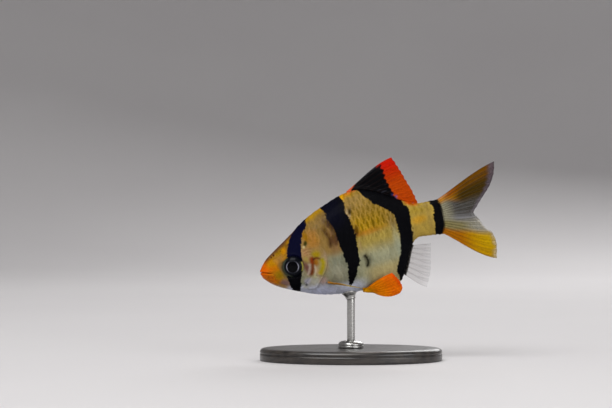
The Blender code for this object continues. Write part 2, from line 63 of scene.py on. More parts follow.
print("solids to dress:", len(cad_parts))

# %% [markdown]
# ## Small tools for values
# Paint and relief fade softly from place to place, so nearly every step needs an S-shaped rise, a
# bell, or one thing laid over another by a share. Blender's nodes can do the same, but written for
# whole arrays these tools shape the meshes as well as colour them.

# %% Blends and colours
MM = 0.001


def smooth(low, high, value):
    """0 up to low, 1 from high, and an S between them: three t squared less two t cubed."""
    t = np.clip((value - low) / (high - low), 0.0, 1.0)
    return t * t * (3 - 2 * t)


def mix(a, b, share):
    """a where share is 0, b where it is 1, and in proportion between."""
    return a + (b - a) * share


def bell(distance, width):
    """1 at distance 0, falling off as e to the minus square of distance over width."""
    return np.exp(-((distance / width) ** 2))


def layered(colour, *layers):
    """Lay tints over a colour, one after another, each by its own share from 0 to 1."""
    for tint, share in layers:
        colour = mix(colour, tint, share[..., None])
    return colour


def paint(red, green, blue):
    """A screen colour of 0 to 255 as the linear light that the shader works in."""
    c = np.array([red, green, blue], float) / 255
    return np.where(c <= 0.04045, c / 12.92, ((c + 0.055) / 1.055) ** 2.4)


def ripple(x, z, size, turn=0.0):
    """An irregular wave between about -1 and 1: five sines that cross each other, size apart."""
    angles = turn + np.array([0.3, 1.5, 2.6, 3.9, 5.2])
    rates = 2 * np.pi / size * np.array([1.0, 0.83, 1.31, 0.67, 1.12])
    waves = [np.sin(r * (x * math.cos(a) + z * math.sin(a)) + 7 * a) for a, r in zip(angles, rates)]
    return sum(waves) / 2.6


print("mid grey in linear light:", paint(128, 128, 128).round(3))

# %% [markdown]
# ## Small tools for lines
# A sculptor's measurements are a few places along a line. A smooth curve through them gives every
# place between, so a whole flank comes from some twenty numbers. Splines from a modelling package
# would do the same; writing the curve out keeps it the same curve that cut the solids.

# %% Curves through points
def stacked(*parts):
    """Arrays of x, y and z, or of other parts, as one array of points."""
    return np.stack(parts, axis=-1)


def curve_through(points):
    """A smooth function through the points: a cubic between each two, sloped by its neighbours."""
    x, y = np.array(points, float).T
    slope = np.gradient(y, x)

    def value(at):
        """The curve's value at a place, which stays the end's own value past either end."""
        at = np.clip(at, x[0], x[-1])
        i = np.clip(np.searchsorted(x, at, side="right") - 1, 0, len(x) - 2)
        span = x[i + 1] - x[i]
        f = (at - x[i]) / span
        start = (1 + 2 * f) * (1 - f) ** 2 * y[i] + f * (1 - f) ** 2 * span * slope[i]
        end = f * f * (3 - 2 * f) * y[i + 1] + f * f * (f - 1) * span * slope[i + 1]
        return start + end

    return value


def path_through(points):
    """A function of 0 to 1 that follows the points smoothly, at even steps along their chords."""
    p = np.array(points, float)
    reach = np.concatenate([[0.0], np.cumsum(np.linalg.norm(np.diff(p, axis=0), axis=1))])
    along = reach / reach[-1]
    axes = [curve_through(list(zip(along, p[:, k]))) for k in range(p.shape[1])]
    return lambda f: np.stack([axis(f) for axis in axes], axis=-1)


def near_line(x, z, points, steps=40):
    """How far each place is from a smooth line, and how far along that line, from 0 to 1."""
    line = path_through(points)(np.linspace(0, 1, steps))
    start, run = line[:-1], np.diff(line, axis=0)
    place = stacked(x, z).reshape(-1, 1, 2)
    t = np.clip(((place - start) * run).sum(-1) / (run**2).sum(-1), 0, 1)
    gap = np.linalg.norm(place - start - run * t[..., None], axis=-1)
    nearest = gap.argmin(axis=1)
    pick = np.arange(len(gap))
    along = (nearest + t[pick, nearest]) / (steps - 1)
    return gap[pick, nearest].reshape(x.shape), along.reshape(x.shape)


corner = path_through([(0, 0), (1, 0), (1, 1)])
print("half way round a corner:", corner(np.array([0.5])).round(2))

# %% [markdown]
# ## The body's lines
# A fish has no straight edge, but a few lines hold its whole form: the back, the belly, the line
# where it is widest, and how wide it is there. A place on the flank is the distance x from the
# snout and the level v, which is -1 on the belly, 0 at the widest line and 1 on the back. These
# are the solids' own measurements, repeated here because this script reads no other file.

# %% Outline of the fish
SNOUT_X = -0.05
NOSE_DOWN = math.radians(16.18)
FISH_CENTRE_X = 29.72
BACK_LINE = [
    (SNOUT_X, -0.45), (0.05, 0.0), (0.3, 0.45), (0.95, 1.2), (2.0, 2.2), (3.4, 3.1), (5.0, 4.0),
    (9.7, 6.6), (14.5, 9.35), (20.3, 11.45), (26.0, 12.85), (28.5, 12.95), (33.0, 11.2),
    (38.0, 7.95), (42.7, 5.3), (45.0, 5.05), (48.6, 5.0),
]
BELLY_LINE = [
    (SNOUT_X, -0.45), (0.07, -1.7), (0.64, -2.65), (1.28, -3.4), (3.1, -5.0), (4.8, -6.05),
    (8.2, -7.85), (12.8, -9.85), (17.7, -11.15), (22.8, -11.85), (28.0, -12.4), (32.0, -12.7),
    (33.6, -12.1), (36.0, -8.6), (38.0, -5.0), (39.5, -3.45), (43.6, -3.3), (48.6, -4.5),
]
WIDEST_LINE = [
    (SNOUT_X, -0.45), (1.0, -0.85), (2.6, -1.4), (8.0, -1.3), (16.0, -1.5), (24.0, -1.2),
    (34.0, 0.4), (41.0, 1.0), (48.6, 0.4),
]
HALF_WIDTH = [
    (SNOUT_X, 0.0), (0.35, 1.0), (1.25, 1.6), (3.0, 2.3), (5.5, 3.05), (8.0, 3.6), (12.0, 4.25),
    (16.0, 4.6), (20.0, 4.65), (25.0, 4.5), (30.0, 3.95), (35.0, 3.05), (40.0, 2.15), (44.0, 1.5),
    (48.6, 0.7),
]
BACK_FULLNESS = 1.15
BELLY_FULLNESS = 0.86
GILL_OPENING = [
    (-1.0, 10.0), (-0.75, 12.6), (-0.53, 14.3), (-0.35, 15.7), (-0.18, 16.6), (0.0, 17.05),
    (0.17, 17.0), (0.35, 15.9), (0.5, 14.5), (0.75, 12.9), (1.0, 11.6),
]
STALK_END_X = 47.0
STALK_END_BULGE = 1.0
STALK_END_SLANT = 0.4
print("measured places:", len(BACK_LINE) + len(BELLY_LINE) + len(WIDEST_LINE) + len(HALF_WIDTH))

# %% [markdown]
# ## Reading the body's lines
# Two numbers name any place on the flank, and the functions here turn them into a height and a
# width and back again. Section by section, the body is an oval whose upper half is a little
# slimmer than an ellipse and whose belly is a little fuller.

# %% Height and width at a place
def rounded_at_snout(points):
    """A curve over the square root of the distance from the snout, so that the snout is round."""
    over_root = curve_through([(math.sqrt(x - SNOUT_X), y) for x, y in points])
    return lambda x: over_root(np.sqrt(np.maximum(np.asarray(x, float) - SNOUT_X, 0.0)))


back_height = rounded_at_snout(BACK_LINE)
belly_height = rounded_at_snout(BELLY_LINE)
widest_height = rounded_at_snout(WIDEST_LINE)
half_width = rounded_at_snout(HALF_WIDTH)
gill_opening = curve_through(GILL_OPENING)


def stalk_end(v):
    """Distance from the snout of the tail stalk's end: it bulges at the middle and slants."""
    return STALK_END_X + STALK_END_BULGE * (1 - v * v) + STALK_END_SLANT * v


def height_at(x, v):
    """Height of level v: in proportion from the widest line to the back, or to the belly."""
    above = back_height(x) - widest_height(x)
    below = widest_height(x) - belly_height(x)
    return widest_height(x) + v * np.where(v > 0, above, below)


def width_at(x, v):
    """Half width at level v: (1 - v squared) to half the fullness, times the half width there."""
    fullness = np.where(v > 0, BACK_FULLNESS, BELLY_FULLNESS)
    return half_width(x) * np.maximum(1 - v * v, 0.0) ** (fullness / 2)


def level_of(x, z):
    """Level v of height z at distance x: the inverse of height_at."""
    middle = widest_height(x)
    above = (z - middle) / (back_height(x) - middle)
    below = (z - middle) / (middle - belly_height(x))
    return np.where(z > middle, above, below)


print("body depth at x = 28:", round(float(back_height(28.0) - belly_height(28.0)), 2), "mm")

# %% [markdown]
# ## From the body frame to the room
# The fish hangs nose down by 16 degrees over its stand. Turning every point by the same angle
# keeps all the measuring above simple. The height follows from the stand: the belly's lowest
# place over the rod is 14 mm above the wooden base.

# %% Tip the fish and turn millimetres into metres
BASE_THICKNESS = 3.2
CLEARANCE_BELOW_FISH = 14.0
ROD_PLACE = 20.2
belly_over_rod = float(belly_height(ROD_PLACE))
rod_drop = ROD_PLACE * math.sin(NOSE_DOWN) + belly_over_rod * math.cos(NOSE_DOWN)
FISH_HEIGHT = BASE_THICKNESS + CLEARANCE_BELOW_FISH - rod_drop


def in_room(points):
    """Turn about y by the nose-down angle, shift to the stand, and scale to metres."""
    x, y, z = np.moveaxis(np.asarray(points, float), -1, 0)
    room_x = x * math.cos(NOSE_DOWN) - z * math.sin(NOSE_DOWN) - FISH_CENTRE_X
    room_z = x * math.sin(NOSE_DOWN) + z * math.cos(NOSE_DOWN) + FISH_HEIGHT
    return stacked(room_x, y, room_z) * MM


print("snout tip in the room:", in_room((0, 0, -0.45)).round(4))

# %% [markdown]
# ## Meshes from rings
# Nearly every piece here is a closed tube of rings: the skin, each fin (a very flat tube), the
# eyes, the rod. Rings give clean quads that follow the form. Each end is either drawn to a point
# or stitched shut along a seam, so no piece has a hole. Every mesh carries its painted values as
# attributes, and a map named OFBake in which each face has a place of its own.

# %% Rings to a mesh
def tube_faces(stations, around, first, last):
    """Quads between rings, and their corners on the map: station by place round the ring."""
    number = np.arange(stations * around).reshape(stations, around)
    place = np.arange(around)
    twin = np.minimum(place, (around - place) % around)
    for row, end in ((0, first), (stations - 1, last)):
        if end == "point":
            number[row] = number[row, 0]
        if end == "seam":
            number[row] = number[row, twin]
    near, far = number[:-1], number[1:]
    quads = stacked(near, far, np.roll(far, -1, axis=1), np.roll(near, -1, axis=1))
    i, j = np.meshgrid(np.arange(stations - 1), place, indexing="ij")
    corner_i = stacked(i, i + 1, i + 1, i) / (stations - 1)
    corner_j = stacked(j, j, j + 1, j + 1) / around
    corners = stacked(corner_i, corner_j)
    return quads.reshape(-1, 4), corners.reshape(-1, 4, 2)


print("a tube of 3 by 4 has", len(tube_faces(3, 4, "open", "open")[0]), "faces")

# %% [markdown]
# ## A mesh that carries paint
# Blender can store any value at each point of a mesh. Ours hold the painted colour, the depth in a
# bar, the place on a scale and the like, so that one finish can serve many pieces. Each new object
# rides on the model, takes its finish, and hides the solids it stands for.

# %% Points, faces and painted values to an object
def in_scene(name, data):
    """A new object of this mesh, lamp or camera, put into the scene."""
    thing = bpy.data.objects.new(name, data)
    bpy.context.scene.collection.objects.link(thing)
    return thing


def add_mesh(name, points, faces, corners, paints, finish, replaced=()):
    """Put points (metres), faces and painted values into a mesh object that rides on the model."""
    mesh = bpy.data.meshes.new(name)
    mesh.from_pydata(points.tolist(), [], faces)
    chart = mesh.uv_layers.new(name="OFBake")
    chart.data.foreach_set("uv", corners.astype(np.float32).ravel())
    for label, values in paints.items():
        if values.ndim == 2:
            values = np.concatenate([values, np.ones((len(values), 1))], axis=1)
            layer, field = mesh.attributes.new(label, "FLOAT_COLOR", "POINT"), "color"
        else:
            layer, field = mesh.attributes.new(label, "FLOAT", "POINT"), "value"
        layer.data.foreach_set(field, values.astype(np.float32).ravel())
    mesh.materials.append(finish)
    mesh.shade_smooth()
    thing = in_scene(name, mesh)
    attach(thing, "root")
    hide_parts(*replaced)
    print(name, "has", sum(len(face) - 2 for face in faces), "triangles")
    return thing


def tube(name, rings, first, last, paints, finish, replaced=()):
    """A closed tube from rings (stations, around, 3), faces outward, without repeated corners."""
    stations, around, _ = rings.shape
    quads, corners = tube_faces(stations, around, first, last)
    points = rings.reshape(-1, 3)
    a, b, c, d = (points[quads[:, k]] for k in range(4))
    volume = np.einsum("ij,ij->", a, np.cross(b, c) + np.cross(c, d))
    if volume < 0:
        quads, corners = quads[:, ::-1], corners[:, ::-1]
    used, quads = np.unique(quads, return_inverse=True)
    quads = quads.reshape(-1, 4)
    repeated = quads == np.roll(quads, -1, axis=1)
    pinched = repeated.any(axis=1)
    threes = quads[pinched][~repeated[pinched]].reshape(-1, 3)
    faces = quads[~pinched].tolist() + threes.tolist()
    three_corners = corners[pinched][~repeated[pinched]]
    chart = np.concatenate([corners[~pinched].reshape(-1, 2), three_corners.reshape(-1, 2)])
    kept = {k: v.reshape(stations * around, *v.shape[2:])[used] for k, v in paints.items()}
    return add_mesh(name, points[used], faces, chart, kept, finish, replaced)


def square_to(grid, closed=True):
    """Unit normals of a grid of points: the cross product of its two directions."""
    along = np.gradient(grid, axis=0)
    if closed:
        across = np.roll(grid, -1, axis=1) - np.roll(grid, 1, axis=1)
    else:
        across = np.gradient(grid, axis=1)
    normal = np.cross(along, across)
    return normal / (np.linalg.norm(normal, axis=-1, keepdims=True) + 1e-12)


level_patch = stacked(*np.indices((3, 3)), np.zeros((3, 3)))
print("a level patch faces along", square_to(level_patch, closed=False)[1, 1])

# %% [markdown]
# ## Shader nodes in one line each
# A finish is a small tree of nodes. Writing each node as a call keeps a finish readable from top
# to bottom, like a recipe. Whatever is the same all over a surface is set on the shader itself.

# %% One node, and a finish to put it in
def new_finish(name, gloss):
    """A material with one Principled shader, whose even values are set on its own sockets."""
    finish = bpy.data.materials.new(name)
    finish.use_nodes = True
    for socket, value in gloss.items():
        finish.node_tree.nodes["Principled BSDF"].inputs[socket].default_value = value
    return finish, finish.node_tree


def driven(finish, values):
    """Let values that change over the surface drive the shader's sockets."""
    for socket, value in values.items():
        shader = finish.node_tree.nodes["Principled BSDF"]
        finish.node_tree.links.new(value, shader.inputs[socket])
    return finish


def node(kind, inputs, output=0, tree=None, **settings):
    """One shader node, in the tree of the links it is given. Inputs are numbers, colours or links,
    and its output socket comes back."""
    links = {k: v for k, v in inputs.items() if isinstance(v, bpy.types.NodeSocket)}
    tree = tree or next(iter(links.values())).id_data
    made = tree.nodes.new("ShaderNode" + kind)
    for key, value in settings.items():
        setattr(made, key, value)
    for key, value in inputs.items():
        if key in links:
            tree.links.new(value, made.inputs[key])
        else:
            made.inputs[key].default_value = value
    return made.outputs[output]


def sum_of(a, b):
    """a plus b."""
    return node("Math", {0: a, 1: b}, operation="ADD")


def product(a, b):
    """a times b."""
    return node("Math", {0: a, 1: b}, operation="MULTIPLY")


print("finishes so far:", len(bpy.data.materials))

# %% [markdown]
# ## Recipes of a few nodes
# Every finish below is made of the same few steps: read what was painted, add a grain as coarse as
# the real one, turn it into a share by a soft ramp, blend two colours, raise a relief.

# %% Ramps, grain and relief
def sine_of(value, rate):
    """The sine of a value times a rate: even ridges along whatever the value measures."""
    return node("Math", {0: product(value, rate)}, operation="SINE")


def ramp(value, low, high, start=0.0, end=1.0):
    """An S-shaped rise of value from low to high, between start and end."""
    steps = {"Value": value, "From Min": low, "From Max": high, "To Min": start, "To Max": end}
    return node("MapRange", steps, interpolation_type="SMOOTHSTEP")


def blend_colour(share, a, b):
    """Colour a where share is 0, and b where it is 1."""
    return node("Mix", {0: share, 6: a, 7: b}, 2, data_type="RGBA")


def painted(tree, label):
    """A painted value of the mesh."""
    return node("Attribute", {}, "Fac", tree, attribute_name=label)


def painted_colour(tree, label):
    """A painted colour of the mesh."""
    return node("Attribute", {}, "Color", tree, attribute_name=label)


def place_in_room(tree):
    """A point's place in the object's own coordinates, in metres."""
    return node("TexCoord", {}, "Object", tree)


def grain(vector, size, detail=2.0, roughness=0.5):
    """Noise whose lumps are about size millimetres across."""
    amounts = {"Vector": vector, "Scale": 1 / (size * MM), "Detail": detail, "Roughness": roughness}
    return node("TexNoise", amounts)


def raised(height, depth, strength=1.0, before=None):
    """A bump of depth millimetres, over an earlier bump if there is one."""
    inputs = {"Height": height, "Distance": depth * MM, "Strength": strength}
    if before is not None:
        inputs["Normal"] = before
    return node("Bump", inputs)


def shaded(colour, shade):
    """A colour made lighter or darker by a factor."""
    return node("VectorMath", {0: colour, "Scale": shade}, operation="SCALE")


def opaque(tint):
    """A painted tint as a node's colour, which has a fourth number for how solid it is."""
    return (*tint, 1.0)


print("lumps of 0.5 mm are noise of scale", round(1 / (0.5 * MM)))

# %% [markdown]
# ## The four black bars
# A tiger barb is known by its bars: through the eye, behind the gill, from the dorsal fin down to
# the anal fin, and over the tail's root. On the real fish their edges are soft, and ragged where a
# dark scale meets a pale one. We don't paint the bars as colours. Each is a front and a rear edge
# at a few heights, and we store how deep inside a bar each point lies. The shader turns that into
# black with an edge as sharp as we like, on the skin and on every scale alike.

# %% Bars as edges: height, front edge, rear edge
EYE_BAR = [
    (9.6, 13.6, 14.6), (8.2, 12.0, 14.4), (7.2, 10.8, 14.0), (6.3, 9.9, 13.05), (5.3, 9.05, 12.4),
    (4.3, 8.5, 12.0), (3.2, 7.95, 11.6), (2.2, 7.65, 11.35), (0.7, 7.3, 11.15), (-1.2, 6.0, 10.75),
    (-2.9, 6.1, 10.15), (-4.3, 6.15, 9.6), (-5.6, 6.2, 9.1), (-6.8, 6.5, 8.8), (-7.6, 7.0, 8.4),
]
SHOULDER_BAR = [
    (12.6, 18.0, 24.25), (10.95, 18.86, 25.0), (9.3, 19.7, 24.85), (7.7, 19.8, 24.7),
    (6.4, 20.35, 25.25), (4.7, 20.95, 25.35), (3.4, 20.9, 25.6), (2.1, 20.8, 25.6),
    (0.0, 20.95, 25.3), (-1.9, 21.15, 25.15), (-3.3, 21.3, 24.97), (-4.6, 21.3, 24.7),
    (-5.9, 21.2, 24.0), (-7.1, 20.97, 23.3), (-8.4, 20.75, 22.4), (-9.4, 20.45, 21.5),
    (-9.9, 20.9, 21.0),
]
DORSAL_BAR = [
    (13.2, 29.0, 38.0), (12.8, 29.13, 38.2), (11.0, 30.15, 38.6), (9.9, 31.15, 38.8),
    (8.6, 31.85, 38.95), (7.5, 33.1, 39.05), (6.3, 34.35, 39.3), (5.3, 35.3, 40.1),
    (4.2, 36.1, 40.3), (2.9, 36.23, 40.1), (1.0, 36.25, 39.65), (-0.2, 36.26, 39.78),
    (-1.5, 36.2, 39.6), (-2.6, 35.95, 39.4), (-4.0, 35.5, 39.0), (-5.4, 35.1, 38.3),
    (-7.1, 34.38, 37.4), (-8.2, 33.55, 36.7), (-9.3, 32.95, 36.0), (-10.7, 33.1, 35.0),
    (-12.0, 33.22, 34.2), (-12.6, 33.4, 33.9),
]
TAIL_BAR = [
    (5.4, 45.6, 47.75), (4.8, 45.75, 48.0), (3.6, 46.18, 48.4), (2.1, 46.0, 48.42),
    (0.1, 45.68, 48.25), (-1.8, 45.24, 48.0), (-3.3, 45.18, 47.3), (-4.2, 45.3, 46.4),
    (-4.8, 45.5, 46.0),
]
BARS = (EYE_BAR, SHOULDER_BAR, DORSAL_BAR, TAIL_BAR)
print("bars:", len(BARS), "with", sum(len(bar) for bar in BARS), "pairs of edges")

# %% [markdown]
# ## How deep inside a bar
# An image of the bars would blur when a viewer comes close. A depth doesn't: it is 0 on the edge
# itself, however far we zoom in. The ink has its own colour, since on this fish the bars turn from
# black to navy blue over the eye and on the upper shoulder.

# %% Depth in the bars, and their ink
FAR_OUTSIDE = -9.0
PAST_THE_BACK = 0.9
ROUND_END = 0.15
BLACK = paint(3, 3, 6)
NAVY = paint(4, 5, 32)


def depth_in_bars(x, z):
    """Millimetres inside the nearest bar, negative outside: the least of the ways to its edges."""
    deepest = np.full(np.shape(x), FAR_OUTSIDE)
    for bar in BARS:
        height, front, rear = np.array(bar)[::-1].T
        inside = np.minimum(x - np.interp(z, height, front), np.interp(z, height, rear) - x)
        ends = np.minimum(z - height[0], height[-1] + PAST_THE_BACK - z)
        deepest = np.maximum(deepest, np.minimum(inside, ends + ROUND_END))
    return deepest


def ink(x, z):
    """Colour of the bars: black, with navy blue over the eye and on the upper shoulder."""
    over_eye = smooth(15.0, 13.5, x) * smooth(-2.2, 1.5, z)
    shoulder = 0.35 * smooth(3.0, 8.0, z) * smooth(25.5, 22.0, x)
    return layered(BLACK, (NAVY, np.clip(over_eye + shoulder, 0, 1)))


depth = float(depth_in_bars(np.array(23.2), np.array(2.0)))
print("the middle of the shoulder bar lies", round(depth, 2), "mm inside")

# %% [markdown]
# ## Colours between the bars
# The ground colour runs from gold on the back through an amber line to a pale khaki flank and a
# bluish-white belly, with an orange snout and a patchwork of tints on the gill cover. We lay it
# on as a painter would: broad washes first, then soft oval touches, each with a place, a reach, a
# tilt and a colour. Colours are as seen in even light, so that the lamps only have to be even.

# %% Washes
GOLD = paint(146, 116, 50)
RICH_GOLD = paint(168, 130, 12)
NAPE = paint(136, 108, 58)
KHAKI = paint(156, 136, 66)
PALE_FLANK = paint(146, 146, 118)
WARM_LOW_FLANK = paint(168, 155, 108)
BEHIND_GILL = paint(124, 126, 106)
BELLY = paint(192, 196, 212)
STALK = paint(166, 140, 64)
AMBER = paint(164, 104, 30)
BACK_OCHRE = paint(184, 138, 14)


def wash(x, z, v):
    """Ground colour of the trunk, from level to level and from front to rear."""
    before_bar = smooth(24.0, 22.5, x)
    rich = smooth(1.6, 2.6, z) * smooth(8.0, 4.0, z) * smooth(25.0, 26.5, x)
    low_flank = layered(PALE_FLANK, (WARM_LOW_FLANK, smooth(-5.5, -8.0, z) * smooth(24.0, 28.0, x)))
    amber = bell(z - 1.95 - 0.1 * ripple(x, z, 5.0), 0.65)
    top = smooth(0.84, 0.96, v + 0.02 * ripple(x, z, 2.3))
    return layered(
        KHAKI,
        (GOLD, smooth(0.9, 2.6, z)),
        (RICH_GOLD, 0.75 * rich * smooth(36.0, 31.0, x)),
        (NAPE, before_bar * smooth(-3.2, -0.8, z)),
        (low_flank, smooth(0.0, -4.4, z) * smooth(39.5, 36.5, x)),
        (BEHIND_GILL, before_bar * smooth(0.2, -2.8, z)),
        (BELLY, smooth(-0.62, -0.86, v) * smooth(26.5, 22.0, x)),
        (STALK, smooth(38.6, 39.8, x)),
        (AMBER, 0.75 * amber * smooth(25.2, 26.2, x) * smooth(34.5, 29.0, x)),
        (BACK_OCHRE, 0.8 * top * smooth(28.5, 27.0, x)),
    )


mid_flank = wash(np.array([28.0]), np.array([4.0]), np.array([0.3]))[0]
print("ground colour at mid flank:", mid_flank.round(3))

# %% [markdown]
# ## Touches
# The head has the most colours of all: an orange snout, an olive cheek, a pale chin, yellow and
# brown on the gill cover. Each touch is a soft oval like one press of a sponge, and its rim wanders
# a little, because pigment never stops on a clean curve. A table of touches is easy to correct: a
# wrong colour is one line. Each line gives x, z, reach along, reach across, tilt in degrees, share
# and colour.

# %% Soft ovals
HEAD_TOUCHES = [
    (4.2, 0.2, 6.4, 4.6, 0, 1.0, (164, 114, 2)),
    (9.2, 5.2, 6.8, 2.2, 30, 1.0, (128, 92, 30)),
    (3.8, -3.9, 3.6, 1.8, -32, 1.0, (150, 104, 2)),
    (2.0, -2.8, 2.7, 1.5, -35, 0.9, (190, 104, 0)),
    (2.0, -0.4, 3.6, 2.3, 10, 0.7, (192, 102, 0)),
    (0.2, -0.2, 3.5, 2.3, 40, 0.95, (212, 94, 0)),
    (3.4, 1.1, 2.0, 1.2, 20, 0.7, (180, 130, 0)),
    (5.4, 1.4, 1.7, 1.8, 40, 0.8, (166, 120, 58)),
    # Ahead of the eye: greyish brown that is partly painted shade of the socket's front.
    (5.5, -0.4, 1.0, 2.0, 0, 0.95, (120, 92, 50)),
    (4.5, -2.4, 1.9, 1.3, -20, 0.8, (132, 102, 0)),
    (7.0, 3.2, 0.8, 1.2, -25, 0.8, (196, 130, 6)),
    (5.6, 3.0, 1.6, 0.8, 35, 0.6, (160, 124, 2)),
    (8.8, 5.4, 1.2, 0.6, 40, 0.7, (182, 130, 10)),
    (5.3, -4.6, 1.7, 1.1, -20, 0.9, (112, 86, 84)),
    (4.6, -5.4, 1.2, 0.6, -28, 0.6, (160, 120, 34)),
    (13.4, -1.5, 4.4, 7.0, 0, 0.6, (148, 126, 84)),
    (12.1, 1.2, 1.4, 1.7, 0, 0.9, (164, 128, 86)),
    (14.6, 3.8, 2.4, 2.8, 20, 0.9, (154, 106, 42)),
    (14.9, 5.4, 1.6, 1.4, 20, 0.6, (170, 119, 56)),
    (13.2, 5.2, 0.9, 1.7, 15, 0.9, (146, 100, 4)),
    (12.8, 3.4, 0.55, 1.0, -25, 1.0, (56, 54, 20)),
    (12.2, 2.75, 0.4, 0.4, 0, 0.8, (196, 178, 126)),
    (11.9, -0.4, 0.7, 1.2, 0, 0.85, (148, 128, 66)),
    (11.7, -2.6, 1.0, 2.4, 16, 0.95, (96, 58, 52)),
    (11.0, -5.8, 1.2, 1.0, -10, 0.95, (146, 144, 164)),
    (12.5, -6.5, 2.2, 1.4, -15, 0.85, (153, 149, 133)),
    (12.9, -6.2, 1.1, 1.5, 20, 0.45, (170, 170, 158)),
    (19.9, 1.3, 1.7, 3.0, -10, 0.7, (124, 94, 66)),
    (9.9, -7.3, 1.1, 0.8, -20, 0.8, (156, 152, 134)),
    (10.3, -6.5, 0.42, 0.42, 0, 0.9, (58, 56, 62)),
    (14.6, -6.8, 1.3, 1.2, 25, 0.8, (166, 138, 132)),
    (13.7, -3.7, 0.8, 2.0, 15, 0.9, (160, 134, 106)),
    (12.8, -4.8, 0.6, 1.0, 10, 0.85, (152, 148, 104)),
    (14.65, 0.1, 1.35, 1.25, -20, 0.9, (150, 126, 8)),
    (14.1, -1.7, 1.0, 1.2, 0, 0.9, (142, 90, 10)),
    (16.6, -2.2, 0.6, 2.8, -5, 0.8, (150, 128, 106)),
    (19.0, -6.0, 2.6, 3.0, -10, 0.6, (150, 148, 128)),
    (9.6, -8.0, 3.8, 1.0, -25, 0.9, (180, 184, 200)),
    (13.5, -9.1, 4.2, 2.0, -15, 1.0, (190, 194, 216)),
]
BODY_TOUCHES = [
    (25.75, 8.1, 0.6, 1.15, -12, 1.0, (30, 22, 4)),
    (26.05, 3.0, 0.75, 1.8, -12, 1.0, (64, 30, 12)),
    (35.4, 2.9, 1.3, 3.2, -8, 0.65, (132, 114, 74)),
    (35.3, -2.8, 1.3, 4.6, 0, 0.5, (150, 158, 138)),
    (25.9, -0.6, 0.5, 1.5, 0, 0.45, (156, 130, 100)),
    (24.7, 11.9, 1.1, 0.9, 10, 0.95, (212, 152, 10)),
    (26.6, 12.6, 1.3, 0.55, 10, 0.85, (196, 112, 40)),
    (28.2, 13.0, 1.3, 0.4, 8, 0.8, (196, 80, 40)),
    (41.2, 5.8, 2.2, 0.75, -28, 1.0, (182, 70, 0)),
    (41.9, 1.3, 2.6, 1.2, 0, 0.8, (186, 138, 36)),
    (42.2, 4.0, 2.6, 1.3, 0, 0.6, (152, 126, 38)),
    (44.8, 1.0, 0.9, 5.2, 0, 0.45, (138, 116, 66)),
    (38.9, -1.8, 1.3, 2.6, -10, 0.5, (150, 132, 84)),
    (48.2, 4.8, 0.9, 1.2, 0, 1.0, (176, 120, 44)),
]


def touch(colour, x, z, spot, rough=0.06):
    """Lay one soft oval over the colour; its rim wanders by a share of its reach."""
    at_x, at_z, along, across, tilt, share, tint = spot
    t = math.radians(tilt)
    a = ((x - at_x) * math.cos(t) + (z - at_z) * math.sin(t)) / along
    b = ((z - at_z) * math.cos(t) - (x - at_x) * math.sin(t)) / across
    reach = np.sqrt(a * a + b * b) + rough * ripple(x, z, 1.3, tilt)
    return layered(colour, (paint(*tint), share * smooth(1.25, 0.25, reach)))


print("touches:", len(HEAD_TOUCHES), "on the head and", len(BODY_TOUCHES), "on the body")

# %% [markdown]
# ## Streaks
# Where the plates of the gill cover meet, and before the shoulder bar, the colours run in streaks
# rather than spots; along the cheek plate's groove the streak is red-brown and also painted shade
# of that groove. A streak is a soft line through a few places, with its width, share and colour.

# %% Streaks
STREAKS = [
    # The first two streaks follow the cheek plate's groove: red-brown, and painted shade of the
    # groove.
    ([(13.5, 0.1), (13.3, -1.1), (12.95, -2.8), (11.9, -4.9)], 0.62, 0.95, (100, 44, 12)),
    ([(13.6, 0.0), (13.25, -0.8), (12.95, -1.9)], 0.5, 0.6, (134, 46, 10)),
    ([(13.2, -0.9), (13.9, -0.75), (14.6, -0.75), (15.6, -1.5)], 0.3, 0.9, (84, 38, 20)),
    ([(15.6, -0.8), (15.75, -2.6), (15.0, -4.0), (13.9, -5.2)], 0.75, 0.92, (152, 134, 4)),
    ([(12.5, -1.4), (12.1, -3.0), (11.1, -4.5)], 0.34, 0.75, (162, 146, 132)),
    ([(7.0, 0.95), (6.0, 0.0), (5.62, -1.4), (5.95, -2.8), (6.8, -3.6)], 0.42, 0.85, (54, 56, 42)),
    ([(13.6, -2.0), (13.5, -3.6), (12.6, -5.3)], 0.2, 0.7, (178, 166, 140)),
    ([(10.0, -7.5), (11.4, -7.9), (13.2, -7.8), (14.8, -7.0)], 0.2, 0.55, (96, 94, 86)),
    ([(19.3, 8.6), (20.0, 6.8), (20.6, 5.2), (21.1, 3.2), (21.5, 1.4)], 0.85, 0.95, (42, 24, 24)),
    ([(18.0, 6.6), (18.4, 4.8), (19.05, 3.2), (18.95, 1.9), (18.5, 0.5)],
     0.55, 0.95, (58, 34, 20)),
    ([(19.5, 5.0), (19.9, 3.6), (20.0, 2.2), (20.4, 0.4)], 0.4, 0.8, (70, 42, 28)),
    ([(19.1, 5.6), (19.5, 4.4), (19.55, 3.4)], 0.3, 0.4, (150, 114, 76)),
    ([(11.5, 1.7), (12.8, 2.0), (14.2, 1.8)], 0.15, 0.5, (118, 72, 44)),
    ([(11.5, 1.0), (12.8, 1.3), (14.0, 1.1)], 0.15, 0.55, (118, 72, 44)),
    ([(11.5, 0.4), (12.6, 0.65), (13.6, 0.5)], 0.15, 0.5, (118, 72, 44)),
    ([(1.0, -2.1), (2.2, -2.5), (3.4, -2.3)], 0.16, 0.5, (150, 56, 2)),
    ([(1.4, -3.0), (2.4, -3.3), (3.6, -3.4)], 0.15, 0.45, (150, 60, 2)),
    ([(0.8, 1.1), (2.6, 2.6), (5.2, 4.1), (7.6, 5.4), (9.8, 6.7), (12.0, 8.0)],
     0.62, 0.85, (78, 48, 44)),
    ([(24.85, 9.3), (24.9, 8.2), (24.95, 7.3), (25.5, 6.3)], 0.22, 0.85, (182, 162, 130)),
    ([(26.0, -2.9), (26.55, -3.9), (26.8, -4.9), (26.5, -5.8), (25.9, -6.7)],
     0.6, 1.0, (12, 12, 4)),
]


